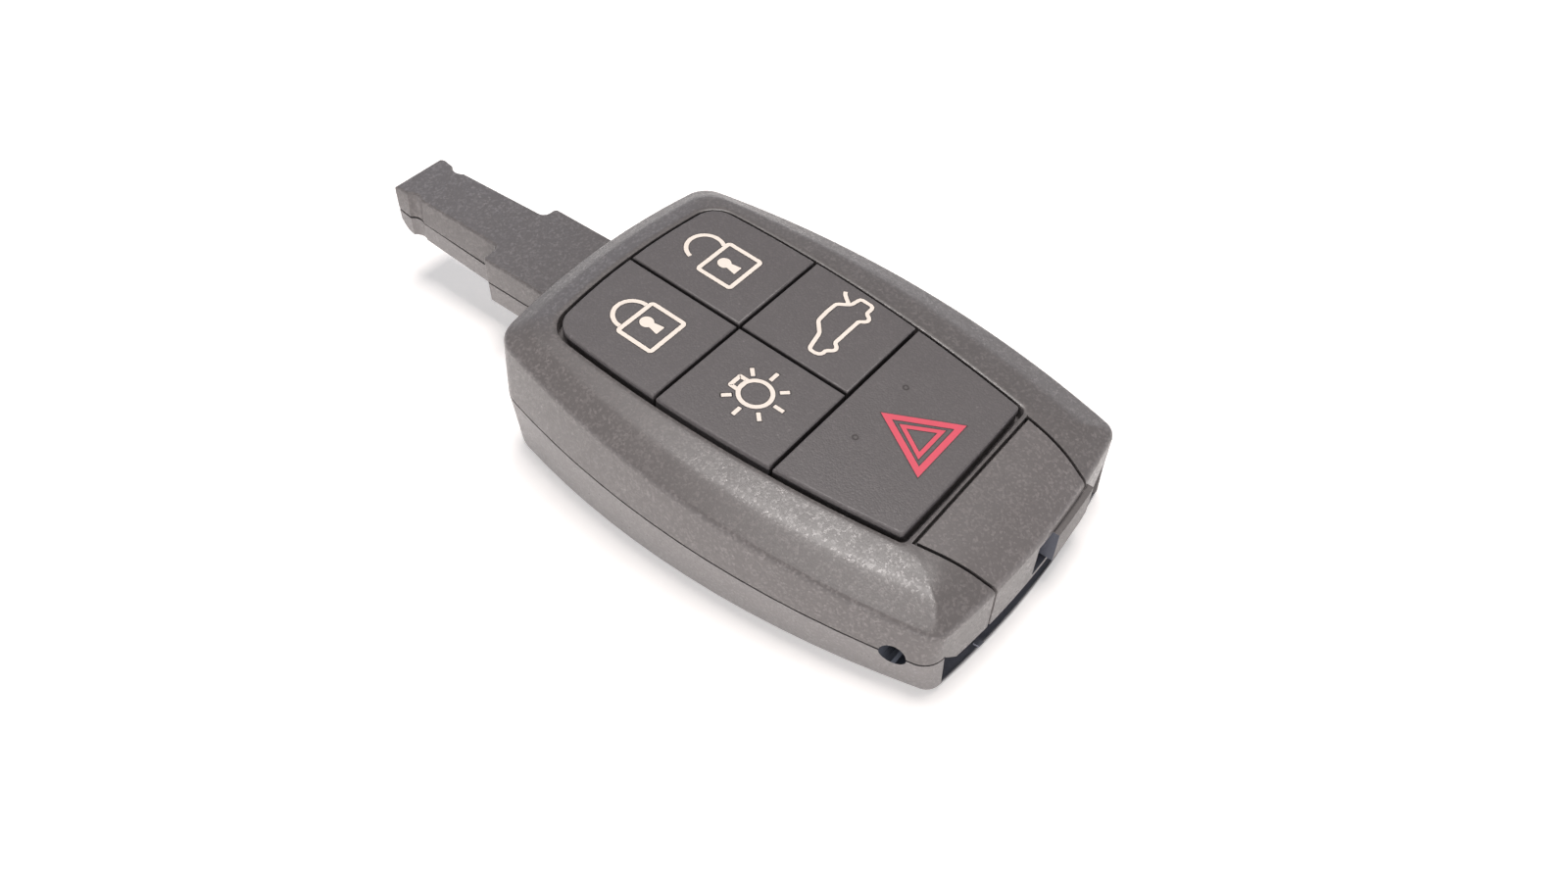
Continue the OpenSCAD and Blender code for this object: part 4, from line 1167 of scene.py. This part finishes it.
def make_catch():
    """Catch with soft edges on its face and painted shade on its left side"""
    bm = merged_mesh("catch")
    sharp = [edge for edge in bm.edges if turn_of(edge) > math.radians(CATCH_TURN)]
    round_edges(bm, sharp, CATCH_EDGE_R, segments=2)
    for face in bm.faces:
        if face.calc_center_median().x < CATCH_LEFT * MM and abs(face.normal.z) < 0.9:
            # painted shade on the left side of the catch
            face.material_index = 1
    piece = add_piece("catch_face", bm, "catch", CATCH)
    piece.data.materials.append(NOTCH_SHADE)
    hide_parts("catch")


def make_coil():
    """Catch spring on the housing, with its own copy of its mesh"""
    piece = add_piece("catch_coil", joined_mesh("catch_spring"), "housing", STEEL, smooth=60)
    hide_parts("catch_spring")
    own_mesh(piece)


# Signs

def flat_face(points, corner=0.0, steps=5):
    """Flat shape through a few points with round corners"""
    bm = bmesh.new()
    verts = [bm.verts.new((x * MM, y * MM, 0)) for x, y in points]
    face = bm.faces.new(verts)
    face.normal_update()
    if face.normal.z < 0:
        face.normal_flip()
    if corner > 0:
        bmesh.ops.bevel(bm, geom=verts, offset=corner * MM, offset_type="OFFSET", segments=steps,
                        profile=0.5, affect="VERTICES", clamp_overlap=True, material=-1)
    bm.faces.ensure_lookup_table()
    return bm


def grow_face(bm, amount):
    """Let the one flat face of a bmesh out by an amount, or draw it in"""
    faces = bm.faces[:]
    made = bmesh.ops.inset_region(bm, faces=faces, thickness=-amount * MM, use_even_offset=True,
                                  use_boundary=True)
    bmesh.ops.delete(bm, geom=made["faces"], context="FACES")


def closed_stroke(points, corner, width):
    """Ring of even width along a closed line"""
    bm = flat_face(points, corner)
    grow_face(bm, width / 2)
    inner = bm.faces[:]
    bmesh.ops.inset_region(bm, faces=inner, thickness=width * MM, use_even_offset=True, use_boundary=True)
    bmesh.ops.delete(bm, geom=inner, context="FACES_ONLY")
    return bm


def arc_stroke(centre, radius, first, last, width, steps=28):
    """Ribbon along an arc, from one angle to another"""
    bm = bmesh.new()
    start = Matrix.Rotation(math.radians(first), 4, "Z")
    ends = [bm.verts.new(start @ Vector(((radius + side * width / 2) * MM, 0, 0))) for side in (-1, 1)]
    edge = bm.edges.new(ends)
    bmesh.ops.spin(bm, geom=ends + [edge], cent=(0, 0, 0), axis=(0, 0, 1), steps=steps,
                   angle=math.radians(last - first), use_merge=abs(last - first) >= 360)
    bmesh.ops.translate(bm, verts=bm.verts, vec=(centre[0] * MM, centre[1] * MM, 0))
    return bm


def line_stroke(first, last, width, corner=SMALL_CORNER):
    """Straight ribbon between two points"""
    a = Vector(first)
    b = Vector(last)
    side = (b - a).orthogonal().normalized() * width / 2
    return flat_face([a + side, a - side, b - side, b + side], corner, steps=3)


def line_ribbon(points, width, closed):
    """Flat ribbon of even width along a line through points, open or closed"""
    curve = bpy.data.curves.new("sign_line", "CURVE")
    curve.dimensions = "3D"
    curve.twist_mode = "Z_UP"
    curve.extrude = width / 2 * MM
    spline = curve.splines.new("POLY")
    spline.points.add(len(points) - 1)
    for point, (x, y) in zip(spline.points, points):
        point.co = (x * MM, y * MM, 0, 1)
        point.tilt = math.pi / 2
    spline.use_cyclic_u = closed
    line = bpy.data.objects.new("sign_line", curve)
    bpy.context.scene.collection.objects.link(line)
    mesh = bpy.data.meshes.new_from_object(line.evaluated_get(bpy.context.evaluated_depsgraph_get()))
    bm = bmesh.new()
    bm.from_mesh(mesh)
    bmesh.ops.remove_doubles(bm, verts=bm.verts, dist=RIBBON_WELD * MM)
    bpy.data.objects.remove(line)
    bpy.data.curves.remove(curve)
    bpy.data.meshes.remove(mesh)
    return bm


def filled_circle(centre, radius):
    """Filled round spot"""
    bm = bmesh.new()
    bmesh.ops.create_circle(bm, cap_ends=True, segments=32, radius=radius * MM)
    bmesh.ops.translate(bm, verts=bm.verts, vec=(centre[0] * MM, centre[1] * MM, 0))
    return bm


def make_sign(name, parts, height, body, material):
    """Lay flat parts on the key face as thin plates, each a hair lower than the one before"""
    whole = bmesh.new()
    for index, part in enumerate(parts):
        lift = height - index * LAYER
        made = bmesh.ops.extrude_face_region(part, geom=part.faces[:], use_keep_orig=True)
        raised = [item for item in made["geom"] if isinstance(item, bmesh.types.BMVert)]
        bmesh.ops.translate(part, verts=raised, vec=(0, 0, lift * MM))
        bmesh.ops.recalc_face_normals(part, faces=part.faces)
        carrier = bpy.data.meshes.new("sign_part")
        part.to_mesh(carrier)
        part.free()
        whole.from_mesh(carrier)
        bpy.data.meshes.remove(carrier)
    bmesh.ops.transform(whole, matrix=ON_KEYS, verts=whole.verts)
    add_piece(name, whole, body, material, smooth=20)


def rectangle(x0, x1, y0, y1):
    """Corners of an upright rectangle"""
    return [(x0, y0), (x1, y0), (x1, y1), (x0, y1)]


def keyhole(x, y, grow):
    """Round spot over a flared leg"""
    top = y - LEG_TOP
    foot = y - LEG_FOOT - grow
    leg = [(x - LEG_TOP_W - grow, top), (x + LEG_TOP_W + grow, top),
           (x + LEG_FOOT_W + grow, foot), (x - LEG_FOOT_W - grow, foot)]
    return [filled_circle((x, y), KEYHOLE_R + grow), flat_face(leg, LEG_CORNER)]


def closed_lock(grow):
    """Padlock with its bow shut"""
    width = STROKE + 2 * grow
    body = closed_stroke(rectangle(-8.95, -3.63, 13.25, 17.73), SIGN_CORNER, width)
    bow = arc_stroke((-6.29, 18.12), 2.04, -3, 183, width)
    return [body, bow] + keyhole(-6.05, 16.35, grow)


def open_lock(grow):
    """Padlock with its bow swung open"""
    width = STROKE + 2 * grow
    body = closed_stroke(rectangle(3.6, 8.95, 13.25, 17.70), SIGN_CORNER, width)
    bow = arc_stroke((6.6, 19.17), 2.1, -37, 169 + 3 * grow / STROKE, width)
    return [body, bow] + keyhole(6.22, 16.15, grow)


def bulb(grow):
    """Lamp bulb with rays"""
    width = BULB_STROKE + 2 * grow
    ring = arc_stroke((BULB_X, BULB_Y), BULB_R, 0, 360, width, steps=48)
    cap = closed_stroke(rectangle(-6.9, -5.34, 3.52, 4.46), SMALL_CORNER, width)
    reach = grow * 1.5
    centre = Vector((BULB_X, RAY_Y))
    rays = []
    for angle, near, far in ((0, 2.35, 3.6), (45, 2.35, 3.45), (135, 2.4, 3.45), (180, 2.4, 3.6),
                             (225, 2.45, 3.55), (270, 2.35, 3.55), (315, 2.45, 3.45)):
        way = Vector((math.cos(math.radians(angle)), math.sin(math.radians(angle))))
        rays.append(line_stroke(centre + way * (near - reach), centre + way * (far + reach),
                                RAY_STROKE + 2 * grow))
    return [ring, cap] + rays


CAR_LINE = [(2.62, 0.24), (2.84, 0.17), (3.2, 0.15), (3.42, 0.02), (3.72, -0.34), (3.9, -0.47),
            (4.1, -0.51), (4.3, -0.46), (4.5, -0.32), (4.72, -0.02), (4.95, 0.11), (8.85, 0.09),
            (9.06, -0.03), (9.34, -0.38), (9.55, -0.55), (9.78, -0.6), (10.0, -0.54), (10.2, -0.34),
            (10.4, -0.02), (10.6, 0.13), (11.4, 0.14), (11.68, 0.25), (11.83, 0.52), (11.85, 1.6),
            (11.76, 1.83), (11.55, 1.95), (10.7, 2.1), (10.42, 2.24), (10.2, 2.46), (9.66, 3.18),
            (9.48, 3.34), (9.25, 3.42), (7.8, 3.46), (6.45, 3.36), (6.2, 3.29), (6.0, 3.15),
            (5.05, 2.32), (4.86, 2.19), (4.64, 2.1), (2.74, 1.7), (2.5, 1.6), (2.34, 1.42),
            (2.29, 1.2), (2.3, 0.8), (2.42, 0.46)]
LID_LINE = [(10.32, 2.42), (10.62, 2.72), (10.98, 3.2), (11.2, 3.47), (11.45, 3.65), (11.66, 3.76)]


def open_car(grow):
    """Side view of a car with its boot lid up"""
    width = CAR_STROKE + 2 * grow
    outline = line_ribbon(CAR_LINE, width, closed=True)
    lid = line_ribbon(LID_LINE, width, closed=False)
    return [outline, lid]


def warning_triangle(grow):
    """Triangle in a triangle"""
    outer = closed_stroke([(-3.42, -16.03), (4.05, -16.03), (0.3, -9.62)], 0, TRIANGLE_STROKE + 2 * grow)
    inner = closed_stroke([(-1.72, -14.92), (2.3, -14.92), (0.3, -11.62)], 0, INNER_STROKE + 2 * grow)
    return [outer, inner]


def make_pips():
    """Two tiny moulded pips at the front of the rear key, each ringed with painted shade"""
    rings = [arc_stroke((x, PIP_Y), PIP_RING_R, 0, 360, PIP_RING_W, steps=20) for x in PIP_XS]
    make_sign("pip_shade_rings", rings, BED_H, "hazard_key", RECESS_SHADE)
    spots = [filled_circle((x, PIP_Y), PIP_R) for x in PIP_XS]
    make_sign("pip_spots", spots, BED_H, "hazard_key", KEY)


SIGNS = {
    "lock": (closed_lock, CREAM),
    "unlock": (open_lock, CREAM),
    "light": (bulb, CREAM),
    "trunk": (open_car, CREAM),
    "hazard": (warning_triangle, RED),
}


# Stage, light and camera

def make_floor():
    """Wide pale floor that keeps the shadow and reads white to the camera"""
    bm = bmesh.new()
    bmesh.ops.create_grid(bm, x_segments=1, y_segments=1, size=FLOOR_HALF)
    bmesh.ops.translate(bm, verts=bm.verts, vec=(0, 0, -FLOOR_LOW))
    mesh = bpy.data.meshes.new("floor")
    bm.to_mesh(mesh)
    bm.free()
    floor = bpy.data.objects.new("floor", mesh)
    bpy.context.scene.collection.objects.link(floor)
    material = bpy.data.materials.new("pale_floor")
    material.use_nodes = True
    tree = material.node_tree
    shader = tree.nodes["Principled BSDF"]
    shader.inputs["Base Color"].default_value = FLOOR_CREAM
    shader.inputs["Roughness"].default_value = 0.9
    shader.inputs["Specular IOR Level"].default_value = 0.0
    light_path = tree.nodes.new("ShaderNodeLightPath")
    mirrored = math_node(tree, "ADD", light_path.outputs["Is Glossy Ray"],
                         light_path.outputs["Is Transmission Ray"], clamp=True)
    shader.inputs["Emission Color"].default_value = (1, 1, 1, 1)
    place = tree.nodes.new("ShaderNodeTexCoord")
    reach = tree.nodes.new("ShaderNodeVectorMath")
    reach.operation = "LENGTH"
    tree.links.new(place.outputs["Object"], reach.inputs[0])
    glow = span_node(tree, reach.outputs["Value"], GLOW_NEAR, GLOW_FAR, FLOOR_GLOW, 1.0)
    seen = math_node(tree, "MULTIPLY", light_path.outputs["Is Camera Ray"], glow)
    level = math_node(tree, "ADD", seen, math_node(tree, "MULTIPLY", mirrored, FLOOR_MIRROR))
    tree.links.new(level, shader.inputs["Emission Strength"])
    mesh.materials.append(material)


def make_world():
    """Even room light, brighter near the horizon, white to the camera"""
    world = bpy.data.worlds.new("room")
    bpy.context.scene.world = world
    world.use_nodes = True
    tree = world.node_tree
    back = tree.nodes["Background"]
    place = tree.nodes.new("ShaderNodeTexCoord")
    split = tree.nodes.new("ShaderNodeSeparateXYZ")
    tree.links.new(place.outputs["Generated"], split.inputs["Vector"])
    light_path = tree.nodes.new("ShaderNodeLightPath")
    ramp = span_node(tree, split.outputs["Z"], 0.0, LIGHT_FALL, HORIZON_LIGHT, OVERHEAD_LIGHT)
    camera = light_path.outputs["Is Camera Ray"]
    level = tree.nodes.new("ShaderNodeMix")
    tree.links.new(camera, level.inputs[0])
    tree.links.new(ramp, level.inputs[2])
    level.inputs[3].default_value = 1.0
    tree.links.new(level.outputs[0], back.inputs["Strength"])
    back.inputs["Color"].default_value = ROOM_BLUE


def make_lamp(name, way, distance, size_x, size_y, power, colour, mirrored=True):
    """Soft box that looks at the fob from a given way"""
    data = bpy.data.lights.new(name, "AREA")
    data.shape = "RECTANGLE"
    data.size = size_x
    data.size_y = size_y
    data.energy = power
    data.color = colour
    lamp = bpy.data.objects.new(name, data)
    spot = Vector(way).normalized() * distance
    lamp.location = spot
    lamp.rotation_euler = spot.to_track_quat("Z", "Y").to_euler()
    lamp.visible_glossy = mirrored
    bpy.context.scene.collection.objects.link(lamp)


def make_camera():
    """Camera at the photograph's angle"""
    data = bpy.data.cameras.new("camera")
    data.sensor_width = 36
    data.lens = 29.70
    data.clip_start = 0.001
    data.clip_end = 20
    camera = bpy.data.objects.new("camera", data)
    right = Vector((0.6151, -0.7883, -0.0153))
    up = Vector((0.5773, 0.4372, 0.6898))
    back = Vector((-0.5370, -0.4331, 0.7239))
    turn = Matrix((right, up, back)).transposed()
    place = Vector((-76.06, -73.70, 104.56)) * MM
    camera.matrix_world = Matrix.Translation(place) @ turn.to_4x4()
    bpy.context.scene.collection.objects.link(camera)
    bpy.context.scene.camera = camera


make_camera()
bpy.context.scene.view_settings.view_transform = "Standard"
make_floor()
make_world()
make_lamp("ceiling_lamp", way=(0.13, 0.0, 0.975), distance=0.8, size_x=0.34, size_y=0.34, power=5.4,
          colour=(1.0, 0.965, 0.945))
make_lamp("low_box", way=(-0.90, -0.44, 0.10), distance=0.7, size_x=0.8, size_y=0.12, power=3.8,
          colour=(1.0, 0.985, 0.975), mirrored=False)
make_lamp("window", way=(0.44, 0.68, 0.58), distance=0.8, size_x=0.32, size_y=0.26, power=0.2,
          colour=(0.80, 0.93, 1.20))

for node, material in INNER_FINISH.items():
    finish_node(node, material)

make_moulding("upper_shell", "upper_moulding", upper_solid(), SHELL)
make_moulding("lower_shell", "lower_moulding", lower_solid(), LIT_BASE)
make_moulding("end_panel", "rear_panel", panel_solid(), LIT_PANEL)
make_lip_bead()
make_catch()
make_coil()
for key in KEY_NAMES:
    make_key(f"{key}_button", f"{key}_cap", f"{key}_key")
for key, (draw, paint) in SIGNS.items():
    # dark plate a little larger than each sign: painted shade of a recess round the print
    make_sign(f"{key}_sign_recess_shade", draw(BED_GROW), BED_H, f"{key}_key", RECESS_SHADE)
    make_sign(f"{key}_sign", draw(0.0), SIGN_H, f"{key}_key", paint)
make_pips()
